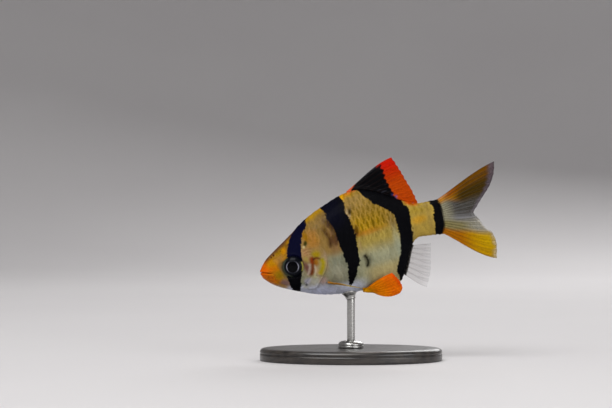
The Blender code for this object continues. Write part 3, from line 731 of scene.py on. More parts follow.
def streak(colour, x, z, line, width, share, tint, fade=0.15):
    """Lay a soft line of colour that fades out at both ends."""
    gap, along = near_line(x, z, line)
    ends = smooth(0.0, fade, along) * smooth(1.0, 1 - fade, along)
    amount = share * bell(gap + 0.06 * ripple(x, z, 0.9), width) * ends
    return layered(colour, (paint(*tint), amount))


print("streaks:", len(STREAKS))

# %% [markdown]
# ## The whole painting
# Two repeating marks remain: brown patches that break up the front of the shoulder bar, and a faint
# olive column along each column of scales. Freckles are only a share here, for the shader to use.

# %% Patches, and everything in the painter's order
MAROON = paint(62, 34, 28)
OLIVE = paint(108, 84, 10)
GLOSS_WHITE = 0.0045
DARKEST = 0.001


def maroon_patches(x, z):
    """Share of the brown patches that break up the front edge of the shoulder bar."""
    heights, fronts = np.array(SHOULDER_BAR)[::-1, :2].T
    ahead = np.interp(z, heights, fronts) - x
    patch = smooth(-1.0, 0.3, ripple(x * 1.5, z * 0.6, 1.7, 1.0)) * smooth(3.2, 0.5, ahead)
    return 0.6 * patch * smooth(-1.2, -0.4, ahead) * smooth(0.2, 2.2, z) * smooth(11.0, 8.0, z)


def olive_columns(x, z):
    """Share of the olive columns on the upper flank, one to each column of scales."""
    wave = np.sin(2 * np.pi * (x + 0.22 * z) / 1.56 + 0.8 * ripple(x, z, 3.1))
    column = smooth(0.1, 0.9, wave) * smooth(2.2, 3.4, z) * smooth(9.8, 7.6, z)
    return 0.4 * column * smooth(25.6, 27.4, x)


def painting(x, z, v):
    """Colour of the fish, without its bars, at distance x, height z and level v."""
    colour = wash(x, z, v)
    for spot in HEAD_TOUCHES + BODY_TOUCHES:
        colour = touch(colour, x, z, spot)
    colour = layered(colour, (MAROON, maroon_patches(x, z)), (OLIVE, olive_columns(x, z)))
    for line, width, share, tint in STREAKS:
        colour = streak(colour, x, z, line, width, share, tint)
    return np.maximum(colour - GLOSS_WHITE, DARKEST)


def freckles(x, z):
    """How freckled the skin is: the jaw, the forehead and the front of the head's flank."""
    jaw = bell(np.hypot(x - 2.0, z + 2.8), 1.7)
    forehead = bell(np.hypot((x - 5.6) * 0.8, z - 3.2 - (x - 5.6) * 0.5), 1.9)
    return np.clip(jaw + forehead, 0, 1)


print("the least light of any paint:", DARKEST)

# %% [markdown]
# ## Marks on a scale
# A tiger barb's scale has a pale rear rim, an olive streak ahead of it, and fine grooves that fan
# towards the rim across its rings of growth. They are drawn by how far a point lies from the rim
# and from the scale's middle, so each scale carries its own, however it is turned.

# %% Rim, streak and grooves
RAGGED_SIZE = 0.45
GROOVES_ACROSS = 34.0
GROOVES_ALONG = 46.0
OLIVE_STREAK = opaque(paint(96, 74, 0))
PALE_RIM = opaque(paint(190, 168, 116))


def uneven(place, reach):
    """A soft noise between minus reach and reach, in mm, that makes an edge ragged."""
    return ramp(grain(place, RAGGED_SIZE, 2.0), 0.2, 0.8, -reach, reach)


def scale_marks(tree, place, colour):
    """The olive streak ahead of a scale's rim, then the pale rim itself."""
    net = painted(tree, "net")
    inner = sum_of(painted(tree, "from_rim"), uneven(place, 0.2))
    dark = product(ramp(inner, 0.3, 0.55), ramp(inner, 1.05, 0.75))
    narrow = ramp(painted(tree, "off_middle"), 1.0, 0.7)
    streaks = product(product(dark, narrow), net)
    colour = blend_colour(product(streaks, 0.7), colour, OLIVE_STREAK)
    rim = product(ramp(inner, 0.4, 0.15), net)
    return blend_colour(product(rim, 0.06), colour, PALE_RIM)


def scale_grooves(tree):
    """Fine grooves that fan out over a scale, crossed by its fainter rings of growth."""
    fan = sine_of(painted(tree, "across"), GROOVES_ACROSS)
    growth = sine_of(painted(tree, "from_rim"), GROOVES_ALONG)
    return sum_of(product(fan, 0.5), product(growth, 0.22))


print("a scale's grooves are", round(2 * math.pi / GROOVES_ACROSS, 2), "of its half width apart")

# %% [markdown]
# ## Finish of the skin and the scales
# Live fish skin is a clear, wet film over pigment and silvery platelets. One recipe serves the
# bare skin of the head and the scales, so that no colour changes where they meet: painted colour,
# fine speckle, freckles, the bars with their ragged edge, then gloss.

# %% Skin finish
SPECKLE_SIZE = 0.12
CLOUD_SIZE = 0.7
FRECKLE_SIZE = 0.33
FILM_SIZE = 0.06
FRECKLE_BROWN = opaque(paint(104, 44, 10))


def skin_finish(name, scaled):
    """Painted colour, speckle, freckles and bars under a wet gloss, and on scales their marks."""
    gloss = {
        "Roughness": 0.38, "Specular IOR Level": 0.04, "Coat Weight": 0.05, "Coat Roughness": 0.1,
    }
    finish, tree = new_finish(name, gloss)
    place = place_in_room(tree)
    broad = grain(place, CLOUD_SIZE, 2.0)
    freckle = ramp(grain(place, FRECKLE_SIZE, 1.0), 0.53, 0.64)
    freckle = product(product(freckle, painted(tree, "freckle")), 0.75)
    colour = blend_colour(freckle, painted_colour(tree, "colour"), FRECKLE_BROWN)
    speckle = ramp(grain(place, SPECKLE_SIZE, 3.0, 0.6), 0.25, 0.75, 0.84, 1.12)
    shade = sum_of(speckle, ramp(broad, 0.3, 0.7, -0.07, 0.07))
    height = grain(place, FILM_SIZE, 2.0)
    if scaled:
        colour = scale_marks(tree, place, colour)
        shade = product(shade, painted(tree, "tone"))
        height = sum_of(scale_grooves(tree), height)
    inside = sum_of(painted(tree, "bar"), uneven(place, 0.22))
    black = ramp(inside, -0.12, 0.12)
    colour = blend_colour(black, shaded(colour, shade), painted_colour(tree, "ink"))
    rough = sum_of(ramp(broad, 0.3, 0.7, 0.34, 0.46), product(black, 0.24))
    return driven(finish, {
        "Base Color": colour,
        "Roughness": rough,
        "Coat Weight": ramp(black, 0.0, 1.0, 0.05, 0.01),
        "Normal": raised(height, 0.012, 0.5),
    })


bare_finish = skin_finish("bare_wet_skin", scaled=False)
scale_finish = skin_finish("wet_scales", scaled=True)
print("nodes in the scales' finish:", len(scale_finish.node_tree.nodes))

# %% [markdown]
# ## One skin from snout to tail
# On the living fish one skin runs over head, gill covers and trunk. Sculpting it by hand would
# work; here it is a tube of rings whose width and height come from the body's lines, so it fits
# the solids everywhere. Rings crowd together at the snout and at the rear edge of the gill cover,
# where the form turns sharply. The snout is drawn to a point, and the rear end is stitched shut
# inside the tail fin.

# %% Rings of the skin
HEAD_RINGS = 132
EDGE_OFFSETS = np.array([-0.34, -0.2, -0.1, -0.04, 0.0, 0.03, 0.08, 0.16, 0.3, 0.5])
BEFORE_EDGE = 0.12
TRUNK_RINGS = 78
AROUND = 336
SNOUT_CROWDING = 0.1
INTO_TAIL = 1.1
TAPER_LENGTH = 1.6
COAT_DEPTH = 0.09

turn_round = 2 * np.pi * np.arange(AROUND) / AROUND
level = -np.cos(turn_round)
side = np.where(np.sin(turn_round) >= 0, -1.0, 1.0)
opening = gill_opening(level)
reach_head = np.linspace(0, 1, HEAD_RINGS)
crowded = np.sqrt(SNOUT_CROWDING**2 + reach_head**2) - SNOUT_CROWDING
crowded = (crowded / crowded[-1])[:, None]
head_x = SNOUT_X + (opening + EDGE_OFFSETS[0] - BEFORE_EDGE - SNOUT_X) * crowded
edge_x = opening + EDGE_OFFSETS[:, None]
trunk_share = np.linspace(0, 1, TRUNK_RINGS + 1)[1:, None]
trunk_x = edge_x[-1] + (stalk_end(level) + INTO_TAIL - edge_x[-1]) * trunk_share
skin_x = np.concatenate([head_x, edge_x, trunk_x])
skin_v = np.broadcast_to(level, skin_x.shape)
skin_end = stalk_end(skin_v)
taper = np.sqrt(np.maximum(1 - smooth(skin_end - TAPER_LENGTH, skin_end + INTO_TAIL, skin_x), 0.0))
skin_y = side * width_at(skin_x, skin_v) * taper
flat_skin = stacked(skin_x, skin_y, height_at(skin_x, skin_v))
skin_z = flat_skin[..., 2]
print("skin grid:", flat_skin.shape)

# %% [markdown]
# ## Relief of the head
# The head is where a viewer looks first. Its landmarks are shallow: two lips and the line of the
# mouth, two nostrils with a flap between them, the socket with its soft rim, the bones that frame
# the cheek, and the gill cover, a plate whose free rear edge stands proud of the shoulder. Each
# is a depth along the skin's own normal, added up over the whole grid at once.

# %% Lips and mouth
LIP_RISE = 0.16
LIP_OFFSET = 0.42
LIP_WIDTH = 0.26
MOUTH_DEPTH = 0.26
MOUTH_WIDTH = 0.1
MOUTH_END = 2.7


def with_lips(points, x):
    """Raise a lip on each side of the mouth line and sink that line, fading out at its corner."""
    off_line = points[..., 2] - widest_height(x)
    lips = LIP_RISE * bell(np.abs(off_line) - LIP_OFFSET, LIP_WIDTH)
    line = MOUTH_DEPTH * bell(off_line, MOUTH_WIDTH)
    fade = smooth(MOUTH_END + 0.5, MOUTH_END - 0.5, x)
    inside = stacked(np.full_like(x, MOUTH_END), np.zeros_like(x), points[..., 2])
    outward = points - inside
    outward /= np.linalg.norm(outward, axis=-1, keepdims=True) + 1e-9
    return points + outward * ((lips - line) * fade)[..., None]


print("the mouth line is", MOUTH_END - SNOUT_X, "mm long")

# %% [markdown]
# ## Bones, nostrils and the gill cover's edge
# Under the skin of the cheek lie thin plates of bone, and each shows as a groove with a low swell
# beside it. The nostril is a pair of pits, with a flap between them that steers the water. Behind
# the gill cover's free edge the skin drops away in a shallow moat, which gives the edge its shadow.

# %% Grooves, pits and the free edge
HEAD_GROOVES = (
    ("upper jaw", [(2.0, -0.7), (2.75, -1.35), (3.05, -2.2), (2.8, -3.0)], 0.09, 0.16),
    ("chin", [(2.6, -2.9), (3.6, -4.2), (4.8, -5.2), (6.4, -6.0)], 0.07, 0.2),
    (
        "below the eye",
        [(4.9, -1.9), (5.7, -4.1), (7.9, -5.2), (10.2, -4.6), (11.5, -2.8)],
        0.05, 0.22,
    ),
    (
        "cheek plate",
        [(13.1, 1.5), (13.5, -0.6), (13.0, -2.9), (11.9, -4.9), (10.0, -6.3), (7.6, -6.9)],
        0.11, 0.2,
    ),
    ("lower plate", [(12.7, -4.6), (13.9, -5.4), (15.3, -5.5)], 0.08, 0.17),
    ("neck fold", [(9.9, 3.9), (11.9, 3.4), (13.9, 2.9), (15.7, 2.1)], 0.02, 0.3),
)
NOSTRIL_PLACES = [(3.55, 2.45), (4.25, 2.8)]
NOSTRIL_RADIUS = 0.22
NOSTRIL_DEPTH = 0.42
FLAP_PLACE = (3.92, 2.63)


def head_relief(x, z):
    """Depth of the head's landmarks, in mm: plates are raised, grooves and pits are sunk."""
    depth = np.zeros_like(x)
    for _, line, deep, wide in HEAD_GROOVES:
        gap, along = near_line(x, z, line)
        ends = smooth(0.0, 0.12, along) * smooth(1.0, 0.88, along)
        depth -= deep * bell(gap, wide) * ends
        depth += 0.35 * deep * bell(gap - 2.2 * wide, 1.3 * wide) * ends
    for at_x, at_z in NOSTRIL_PLACES:
        gap = np.hypot(x - at_x, z - at_z)
        depth -= NOSTRIL_DEPTH * smooth(NOSTRIL_RADIUS + 0.08, NOSTRIL_RADIUS - 0.14, gap)
        depth += 0.1 * bell(gap - NOSTRIL_RADIUS - 0.12, 0.1)
    flap = np.hypot(x - FLAP_PLACE[0], (z - FLAP_PLACE[1]) * 0.7)
    return depth + 0.16 * bell(flap, 0.13)


def cover_relief(x, v):
    """The gill cover: a plate that swells to its free edge and drops there into a moat."""
    behind = x - gill_opening(v)
    free = smooth(0.5, 0.36, v) * smooth(-0.99, -0.8, v)
    plate = 0.2 * smooth(-4.5, -0.5, behind) * smooth(0.06, -0.02, behind)
    lip = 0.06 * bell(behind + 0.16, 0.16)
    moat = -0.16 * smooth(-0.02, 0.06, behind) * smooth(1.0, 0.2, behind)
    return (plate + lip + moat) * free


normal = square_to(flat_skin)
normal *= np.sign(np.sum(normal * (flat_skin - [0, 0, -1.0]) * [0, 1, 1], axis=-1).mean())
in_head = skin_x < gill_opening(skin_v) + 1.2
relief = np.where(in_head, head_relief(skin_x, skin_z) * np.abs(normal[..., 1]), 0.0)
relief += cover_relief(skin_x, skin_v)
relief -= COAT_DEPTH * smooth(gill_opening(skin_v) - 0.05, gill_opening(skin_v) + 0.4, skin_x)
relief[0] = 0.0
skin = with_lips(flat_skin, skin_x) + normal * relief[..., None]
print("relief runs from", relief.min().round(2), "to", relief.max().round(2), "mm")

# %% [markdown]
# ## Eye sockets
# A fish has no lids. Its eye sits in a socket whose soft rim closes on the eyeball, with a narrow
# moat between. We measure each skin point in the eye's own axes, how far it is from the eye's
# axis and how far out, and near the eye we lead the skin down behind the eyeball's surface.

# %% Lead the skin round the eyes
EYE_CENTRE = np.array([8.33, 2.87, -1.25])
EYE_RADIUS = 2.72
EYE_HALF_DEPTH = 1.4
EYE_TURN = math.radians(9.0)
BEHIND_EYEBALL = 0.16
SOCKET_RADIUS = 3.2
RIM_RADIUS = 3.15
RIM_RISE = 0.07


def eye_axes(which):
    """Centre, outward axis, forward axis and upward axis of the eye on side -1 or 1."""
    centre = EYE_CENTRE * [1, which, 1]
    turned = which * EYE_TURN
    out = np.array([-math.sin(turned) * which, math.cos(turned) * which, 0.0])
    ahead = np.array([math.cos(turned), math.sin(turned), 0.0])
    return centre, out, ahead, np.array([0.0, 0.0, 1.0])


def sink_socket(points, which):
    """Near the eye's axis, move points along it to just behind the eyeball's own surface."""
    centre, out, ahead, up = eye_axes(which)
    off = points - centre
    high = off @ out
    radius = np.hypot(off @ ahead, off @ up)
    ball = EYE_HALF_DEPTH * np.sqrt(np.maximum(1 - (np.minimum(radius, 2.6) / EYE_RADIUS) ** 2, 0))
    this_side = high > -1.0
    share = smooth(SOCKET_RADIUS, 2.5, radius) * this_side
    rim = RIM_RISE * bell(radius - RIM_RADIUS, 0.28) * this_side
    return points + out * ((ball - BEHIND_EYEBALL - high) * share + rim)[..., None]


for which in (-1, 1):
    half = side == which
    skin[:, half] = sink_socket(skin[:, half], which)
print("socket depth:", round(EYE_HALF_DEPTH - BEHIND_EYEBALL, 2), "mm behind the eye's rim")

# %% [markdown]
# ## Paint the skin
# The paint is read at each point's place before the relief was added, so that a groove doesn't
# pull the colours into it. The mouth line and the nostrils are painted darker inside: painted
# shade, standing for the shadow that a pit in wet skin holds and that soft studio light would
# wash out.

# %% Paint the skin and make it
PIT_SHADE_BROWN = paint(84, 26, 6)
# Painted shade: the mouth line and the nostril pits are darkened inside.
off_mouth = np.abs(skin_z - widest_height(skin_x))
pits = 0.5 * bell(off_mouth, 0.09) * smooth(MOUTH_END + 0.4, MOUTH_END - 0.4, skin_x)
for at_x, at_z in NOSTRIL_PLACES:
    gap = np.hypot(skin_x - at_x, skin_z - at_z)
    pits = np.maximum(pits, smooth(NOSTRIL_RADIUS + 0.05, NOSTRIL_RADIUS - 0.1, gap))
skin_paints = {
    "colour": layered(painting(skin_x, skin_z, skin_v), (PIT_SHADE_BROWN, 0.8 * pits)),
    "ink": ink(skin_x, skin_z),
    "bar": depth_in_bars(skin_x, skin_z),
    "freckle": freckles(skin_x, skin_z),
}
tube(
    "skin", in_room(skin), "point", "seam", skin_paints, bare_finish,
    ("head", "trunk", "tail_stalk", "gill_cover_left", "gill_cover_right"),
)
print("values painted on the skin:", ", ".join(skin_paints))

# %% [markdown]
# ## A coat of scales
# The trunk wears nearly six hundred scales, laid like roof tiles: each row half a scale behind
# its neighbours, each scale rooted under the one ahead and lifting towards its own rear rim. A
# bump pattern would look flat from the side, so every scale is a thin closed shell of its own.
# To lay rows on a body that narrows, we measure along each ring from the widest line: a table
# of arc length turns so many millimetres up or down the flank into a level.

# %% Arc length round the body
TABLE_X = np.linspace(8.0, 50.0, 211)
TABLE_SHARES = np.linspace(0.0, 1.0, 81)


def arc_tables(sign):
    """For rings along the body, the arc from the widest line to the back (1) or belly (-1),
    and the angle whose sine is the level at even shares of that arc."""
    angle = np.linspace(0, np.pi / 2, 241)
    x, angle = np.meshgrid(TABLE_X, angle, indexing="ij")
    v = sign * np.sin(angle)
    steps = np.hypot(np.diff(width_at(x, v)), np.diff(height_at(x, v)))
    arc = np.concatenate([np.zeros((len(x), 1)), np.cumsum(steps, axis=1)], axis=1)
    angles = [np.interp(TABLE_SHARES, a / a[-1], angle[0]) for a in arc]
    return arc[:, -1], np.array(angles)


ARC_UP, ANGLE_UP = arc_tables(1)
ARC_DOWN, ANGLE_DOWN = arc_tables(-1)


def arc_up(x):
    """Arc from the widest line to the back at distance x."""
    return np.interp(x, TABLE_X, ARC_UP)


def arc_down(x):
    """Arc from the widest line to the belly at distance x."""
    return np.interp(x, TABLE_X, ARC_DOWN)


def look_up(table, x, share):
    """Read a table of rings by shares, in proportion between its entries."""
    i = np.clip((x - TABLE_X[0]) / (TABLE_X[1] - TABLE_X[0]), 0, len(TABLE_X) - 1.001)
    j = np.clip(share, 0, 1) * (len(TABLE_SHARES) - 1.001)
    a, b = i.astype(int), j.astype(int)
    f, g = i - a, j - b
    low = table[a, b] * (1 - g) + table[a, b + 1] * g
    high = table[a + 1, b] * (1 - g) + table[a + 1, b + 1] * g
    return low * (1 - f) + high * f


def on_body(x, arc, which):
    """The place and level at signed arc from the widest line; past the back or belly it goes on
    down the other flank."""
    share = np.abs(arc) / np.where(arc > 0, arc_up(x), arc_down(x))
    over = share > 1
    share = np.where(over, 2 - share, share)
    angle = np.where(arc > 0, look_up(ANGLE_UP, x, share), look_up(ANGLE_DOWN, x, share))
    v = np.sign(arc) * np.sin(angle)
    y = np.where(over, -which, which) * width_at(x, v)
    return stacked(x, y, height_at(x, v)), v


print("half girth at x = 28:", round(float(arc_up(28.0) + arc_down(28.0)), 1), "mm")

# %% [markdown]
# ## Rows of scales
# Like a roofer, we set out the rows before any tile is made. The rows run along the flank, 2 mm
# apart where the body is deepest and closer where it narrows, and one more row runs along the back
# and along the belly to cover the ridge. A scale is kept if its rear rim lies between the gill
# cover and the end of the tail stalk.

# %% Lay out the rows
ROW_PITCH = 2.0
GIRTH_POWER = 0.45
FIRST_RIM = 17.6
FIRST_STEP = 1.62
STEP_LOSS = 0.012
RIDGE_SPARE = 0.45
BEHIND_COVER = 0.45
PAST_STALK = 0.5
RIDGE_STOPS_SHORT = 0.9
dice = np.random.default_rng(11)


def rim_place(k):
    """Distance of the k-th scale's rear rim: the steps shorten towards the tail."""
    return FIRST_RIM + FIRST_STEP * k - STEP_LOSS * k * k


def row_pitch(x):
    """Rows lie 2 mm apart where the body is deepest and closer as its girth shrinks."""
    girth = np.interp(x, TABLE_X, ARC_UP + ARC_DOWN)
    return ROW_PITCH * (girth / (ARC_UP + ARC_DOWN).max()) ** GIRTH_POWER


def row_arc(x, row, kind):
    """Signed arc of a row's middle: so many pitches, or all the way to the back or belly."""
    return np.where(kind == 0, row * row_pitch(x), np.where(kind > 0, arc_up(x), -arc_down(x)))


def lay_rows():
    """Row, rim, side and kind (0 for a flank row, 1 or -1 for the row on the back or belly)."""
    rows, ranks, sides, kinds = (g.ravel() for g in np.meshgrid(
        np.arange(-9, 10), np.arange(-5, 23), (-1, 1), (0, 1, -1), indexing="ij"
    ))
    rim = rim_place(ranks + 0.5 * (rows % 2))
    full = np.where(rows > 0, arc_up(rim), arc_down(rim))
    flank = (kinds == 0) & (np.abs(rows) * row_pitch(rim) < full - RIDGE_SPARE * row_pitch(rim))
    ridge = (kinds != 0) & (rows == 0) & (sides == -1)
    _, v = on_body(rim, row_arc(rim, rows, kinds), sides)
    last = stalk_end(v) + PAST_STALK - RIDGE_STOPS_SHORT * np.abs(kinds)
    keep = (flank | ridge) & (rim > gill_opening(v) + BEHIND_COVER) & (rim < last)
    return [field[keep] for field in (rows, rim, sides, kinds)]


scale_row, scale_rim, scale_side, scale_kind = lay_rows()
count = len(scale_row)
print("scales:", count)

# %% [markdown]
# ## One scale, many times
# A scale is a grid of 7 by 6 points on its top, a short wall down its rim and one face below:
# few faces, since there are hundreds. Its rear rim is a flattened arc. It follows the body's
# curve, because every point of it is looked up on the flank. Each scale gets a slightly different
# size, lift and tone, and reads the bars a little ahead of or behind its place, which gives the
# bars the stepped edge they have on the fish.

# %% Shape of a scale
ACROSS = np.linspace(-1, 1, 7)
BACKWARD = np.array([0.0, 0.08, 0.22, 0.42, 0.68, 1.0])
SCALE_LENGTH = 1.8
SCALE_REACH = 0.98
ROOT_NARROWING = 0.22
RIM_LIFT = 0.11
ROOT_LIFT = -0.1
CROWN = 0.05
RIM_WALL = 0.1
SIZE_SPREAD = 0.05
SHIFT_SPREAD = 0.07
LIFT_SPREAD = 0.12


def per_scale(values):
    """One value for each scale, ready to meet a grid of points on each."""
    return np.asarray(values)[:, None, None]


def scale_grid():
    """Distance x of each point of each scale, its arc round the body, and how far it lies back.

    The rim is a flattened arc across the scale, and points go back from it to the root in steps.
    """
    pitch = FIRST_STEP - 2 * STEP_LOSS * (scale_rim - FIRST_RIM) / 1.4
    size = 1 + SIZE_SPREAD * dice.standard_normal(count)
    shift = per_scale(SHIFT_SPREAD * dice.standard_normal(count))
    p, q = np.meshgrid(ACROSS, BACKWARD)
    rim = -0.85 * (1 - np.sqrt(1 - 0.95 * p**2))
    root = -SCALE_LENGTH + 0.4 * p**2
    back = (rim + (root - rim) * q)[None] * per_scale(pitch * size) + shift
    from_rim = rim[None] * per_scale(pitch * size) + shift - back
    reach = per_scale(SCALE_REACH * row_pitch(scale_rim) * size)
    aside = (p * (1 - ROOT_NARROWING * q**2))[None] * reach
    x = per_scale(scale_rim) + back
    shrink = row_pitch(x) / per_scale(row_pitch(scale_rim))
    arc = row_arc(x, per_scale(scale_row), per_scale(scale_kind)) + aside * shrink
    share_back = np.clip(-back / (SCALE_LENGTH * per_scale(pitch)), 0, 1)
    return x, arc, from_rim, share_back, np.broadcast_to(p, x.shape)


def square_to_body(x, arc, which, place):
    """Outward unit normals of the body, from two short steps along it and round it."""
    step = 0.02
    ahead, _ = on_body(x + step, arc, which)
    above, _ = on_body(x, arc + step, which)
    square = np.cross(ahead - place, above - place)
    square /= np.linalg.norm(square, axis=-1, keepdims=True) + 1e-12
    return square * np.sign(np.sum(square * (place - [0, 0, -1.0]) * [0, 1, 1], -1, keepdims=True))


scale_x, scale_arc, from_rim, share_back, across = scale_grid()
scale_place, scale_v = on_body(scale_x, scale_arc, per_scale(scale_side))
scale_out = square_to_body(scale_x, scale_arc, per_scale(scale_side), scale_place)
lift = RIM_LIFT + (ROOT_LIFT - RIM_LIFT) * share_back
lift = lift * per_scale(1 + LIFT_SPREAD * dice.standard_normal(count)) - CROWN * across**2
lift = lift * (0.45 + 0.55 * smooth(48.3, 44.0, scale_x))
scale_top = scale_place + scale_out * lift[..., None]
scale_under = scale_place + scale_out * (lift - RIM_WALL)[..., None]
print("one scale is", np.ptp(scale_x[40]).round(2), "mm long")

# %% [markdown]
# ## Faces and map of a scale
# All scales share one pattern of faces, so it is worked out once. On the map each scale gets a
# small patch of its own, at its root's place on an unwrap of the body: the top on the left of the
# patch, then the wall, then the underside.

# %% Faces, and patches on the map
ROWS, COLUMNS = len(BACKWARD), len(ACROSS)
PATCH_WIDTH = 0.021
PATCH_SHARE = 0.38
PATCH_MARGIN = 0.04
PATCH_DEPTH = 0.92
grid = np.arange(ROWS * COLUMNS).reshape(ROWS, COLUMNS)
loop = np.concatenate([grid[0, :-1], grid[:-1, -1], grid[-1, :0:-1], grid[:0:-1, 0]])
corners = [grid[:-1, :-1], grid[:-1, 1:], grid[1:, 1:], grid[1:, :-1]]
top_quads = np.stack(corners, axis=-1).reshape(-1, 4)
lower = ROWS * COLUMNS + np.arange(len(loop))
wall_quads = stacked(loop, np.roll(loop, -1), np.roll(lower, -1), lower)[:, ::-1]


def patch_map(centre, width, height):
    """Each scale's corners on the map: its top, its wall and its underside, in patch order."""
    j, i = np.meshgrid(np.linspace(0, 1, COLUMNS), np.linspace(0, 1, ROWS))
    top = stacked(PATCH_MARGIN + 0.62 * i, PATCH_MARGIN + PATCH_DEPTH * j)
    t = np.arange(len(loop)) / len(loop)
    low, high = PATCH_MARGIN + PATCH_DEPTH * t, PATCH_MARGIN + PATCH_DEPTH * (t + 1 / len(loop))
    left, right = np.full_like(t, 0.7), np.full_like(t, 0.8)
    wall = stacked(right, low, right, high, left, high, left, low).reshape(-1, 2)
    turn = 2 * np.pi * t
    below = stacked(0.91 + 0.055 * np.cos(turn), 0.5 + 0.44 * np.sin(turn))
    size = stacked(width, height)[:, None, :]
    corner = centre[:, None, :] - size / 2
    parts = (top.reshape(-1, 2)[top_quads.ravel()], wall, below)
    return [corner + part[None] * size for part in parts]


def patch_places():
    """Middle, width and height of each patch: x along the map, share of the girth round it."""
    girth = 2 * (arc_up(scale_rim) + arc_down(scale_rim))
    left = (arc_down(scale_rim) + row_arc(scale_rim, scale_row, scale_kind)) / girth
    round_share = np.where(scale_side < 0, left, 1 - left)
    centre = stacked(0.02 + 0.96 * scale_rim / 50, 0.03 + 0.94 * round_share)
    return centre, np.full(count, PATCH_WIDTH), PATCH_SHARE * row_pitch(scale_rim) / girth


print("faces of a scale:", len(top_quads), "on top,", len(wall_quads), "in its wall, 1 below")

# %% [markdown]
# ## Join the coat
# One mesh holds every scale, because hundreds of separate objects would be slow to draw and to
# bake. The net of darker rims is strong on the gold of the upper flank, where the fish shows it,
# and fades on the pale belly and on the tail stalk.

# %% Paint the scales and join them into one coat
jitter = per_scale(0.1 * dice.standard_normal(count))
tone = 1 + 0.07 * dice.standard_normal(count)
scale_z = height_at(scale_x, scale_v)
net = 0.16 + 0.84 * smooth(-1.0, 2.6, scale_z) * (0.3 + 0.7 * smooth(24.5, 27.0, scale_x))
net = net * smooth(-11.0, -7.0, scale_z) * (1 - 0.75 * smooth(38.5, 40.5, scale_x))
net = net * (1 - 0.3 * smooth(6.0, 10.0, scale_z)) * (1 - 0.8 * bell(scale_z - 1.95, 0.7))
fields = {
    "colour": painting(scale_x, scale_z, scale_v),
    "ink": ink(scale_x, scale_z),
    "bar": depth_in_bars(scale_x + jitter * smooth(-9, -4, scale_z), scale_z),
    "freckle": np.zeros_like(scale_x),
    "net": net,
    "from_rim": from_rim,
    "off_middle": np.abs(across),
    "across": across,
    "tone": np.broadcast_to(per_scale(tone), scale_x.shape),
}


def with_walls(top, foot):
    """The values of a scale's top, then those of the points at its wall's foot."""
    flat = [values.reshape(count, ROWS * COLUMNS, *values.shape[3:]) for values in (top, foot)]
    joined = np.concatenate([flat[0], flat[1][:, loop]], axis=1)
    return joined.reshape(-1, *top.shape[3:])


def outwards(parts, axis):
    """The corners, taken the other way round on the scales that would face inwards."""
    return np.where(inward.reshape(-1, *[1] * (parts.ndim - 1)), np.flip(parts, axis), parts)


edge_a = scale_top[:, 0, 3] - scale_top[:, -1, 3]
edge_b = scale_top[:, 2, -1] - scale_top[:, 2, 0]
facing = np.cross(edge_b, edge_a) * (scale_top[:, 2, 3] - [0, 0, -1.0])
inward = np.sum(facing * [0, 1, 1], axis=-1) < 0
start = (np.arange(count) * (ROWS * COLUMNS + len(loop)))[:, None]
coat_faces, coat_chart = [], []
for pattern, chart in zip((top_quads, wall_quads, lower[None, ::-1]), patch_map(*patch_places())):
    chart = chart.reshape(count, *pattern.shape, 2)
    faces = outwards(pattern[None] + start[..., None], 2)
    coat_faces += faces.reshape(-1, pattern.shape[1]).tolist()
    coat_chart.append(outwards(chart, 2).reshape(-1, 2))
coat_points = in_room(with_walls(scale_top, scale_under))
coat_chart = np.concatenate(coat_chart)
coat_paints = {label: with_walls(values, values) for label, values in fields.items()}
coat = add_mesh(
    "scale_coat", coat_points, coat_faces, coat_chart, coat_paints, scale_finish
)
coat.data.set_sharp_from_angle(angle=math.radians(38))
print("scales turned to face outwards:", int(inward.sum()), "of", count)

# %% [markdown]
# ## Eyes
# The eye is a flattened ball, smooth because it is wet: a black pupil, a thin silver ring with a
# painted highlight at its two sides, where it would catch the light, and a nearly black iris that
# turns green in front and gold behind.
# A clear dome over a sunken iris would be more work than it shows at this size, so one turned form
# carries the painted rings, a fine groove at the ring and a thin clear coat.

# %% Turned eyeballs
EYE_RINGS = 61
EYE_AROUND = 112
GROOVE_DEPTH = 0.015
PUPIL_BLACK = paint(3, 3, 5)
DULL_SILVER = paint(20, 22, 30)
SILVER_HIGHLIGHT = paint(158, 158, 172)
IRIS_BLACK = paint(7, 9, 15)
IRIS_GREEN = paint(60, 67, 54)
RIM_GOLD = paint(158, 150, 70)


def eye_paint(radius, angle):
    """Rings of colour by distance from the eye's axis; angle is 0 towards the tail."""
    # The ring is dull silver, with a painted highlight at its two sides.
    silver = layered(DULL_SILVER, (SILVER_HIGHLIGHT, 0.03 + 0.97 * np.cos(angle + 0.25) ** 4))
    return layered(
        PUPIL_BLACK,
        (silver, smooth(1.38, 1.46, radius) * smooth(1.64, 1.56, radius)),
        (IRIS_BLACK, smooth(1.56, 1.66, radius)),
        (IRIS_GREEN, smooth(2.05, 2.4, radius) * smooth(0.1, 0.8, -np.cos(angle))),
        (RIM_GOLD, smooth(2.3, 2.42, radius) * smooth(0.84, 0.95, np.cos(angle + 0.22))),
    )


def eye_finish():
    """Painted rings with fine fibres, under a thin wet coat."""
    gloss = {
        "Roughness": 0.3, "Coat Weight": 0.08, "Coat Roughness": 0.05, "Specular IOR Level": 0.03,
    }
    finish, tree = new_finish("wet_eye", gloss)
    place = place_in_room(tree)
    fibres = grain(place, 0.09, 3.0, 0.7)
    fibre_shade = ramp(fibres, 0.25, 0.75, 0.75, 1.25)
    colour = shaded(painted_colour(tree, "colour"), fibre_shade)
    return driven(finish, {
        "Base Color": colour,
        "Roughness": ramp(fibres, 0.3, 0.7, 0.26, 0.34),
        "Normal": raised(grain(place, 0.2, 2.0), 0.004, 0.2),
    })


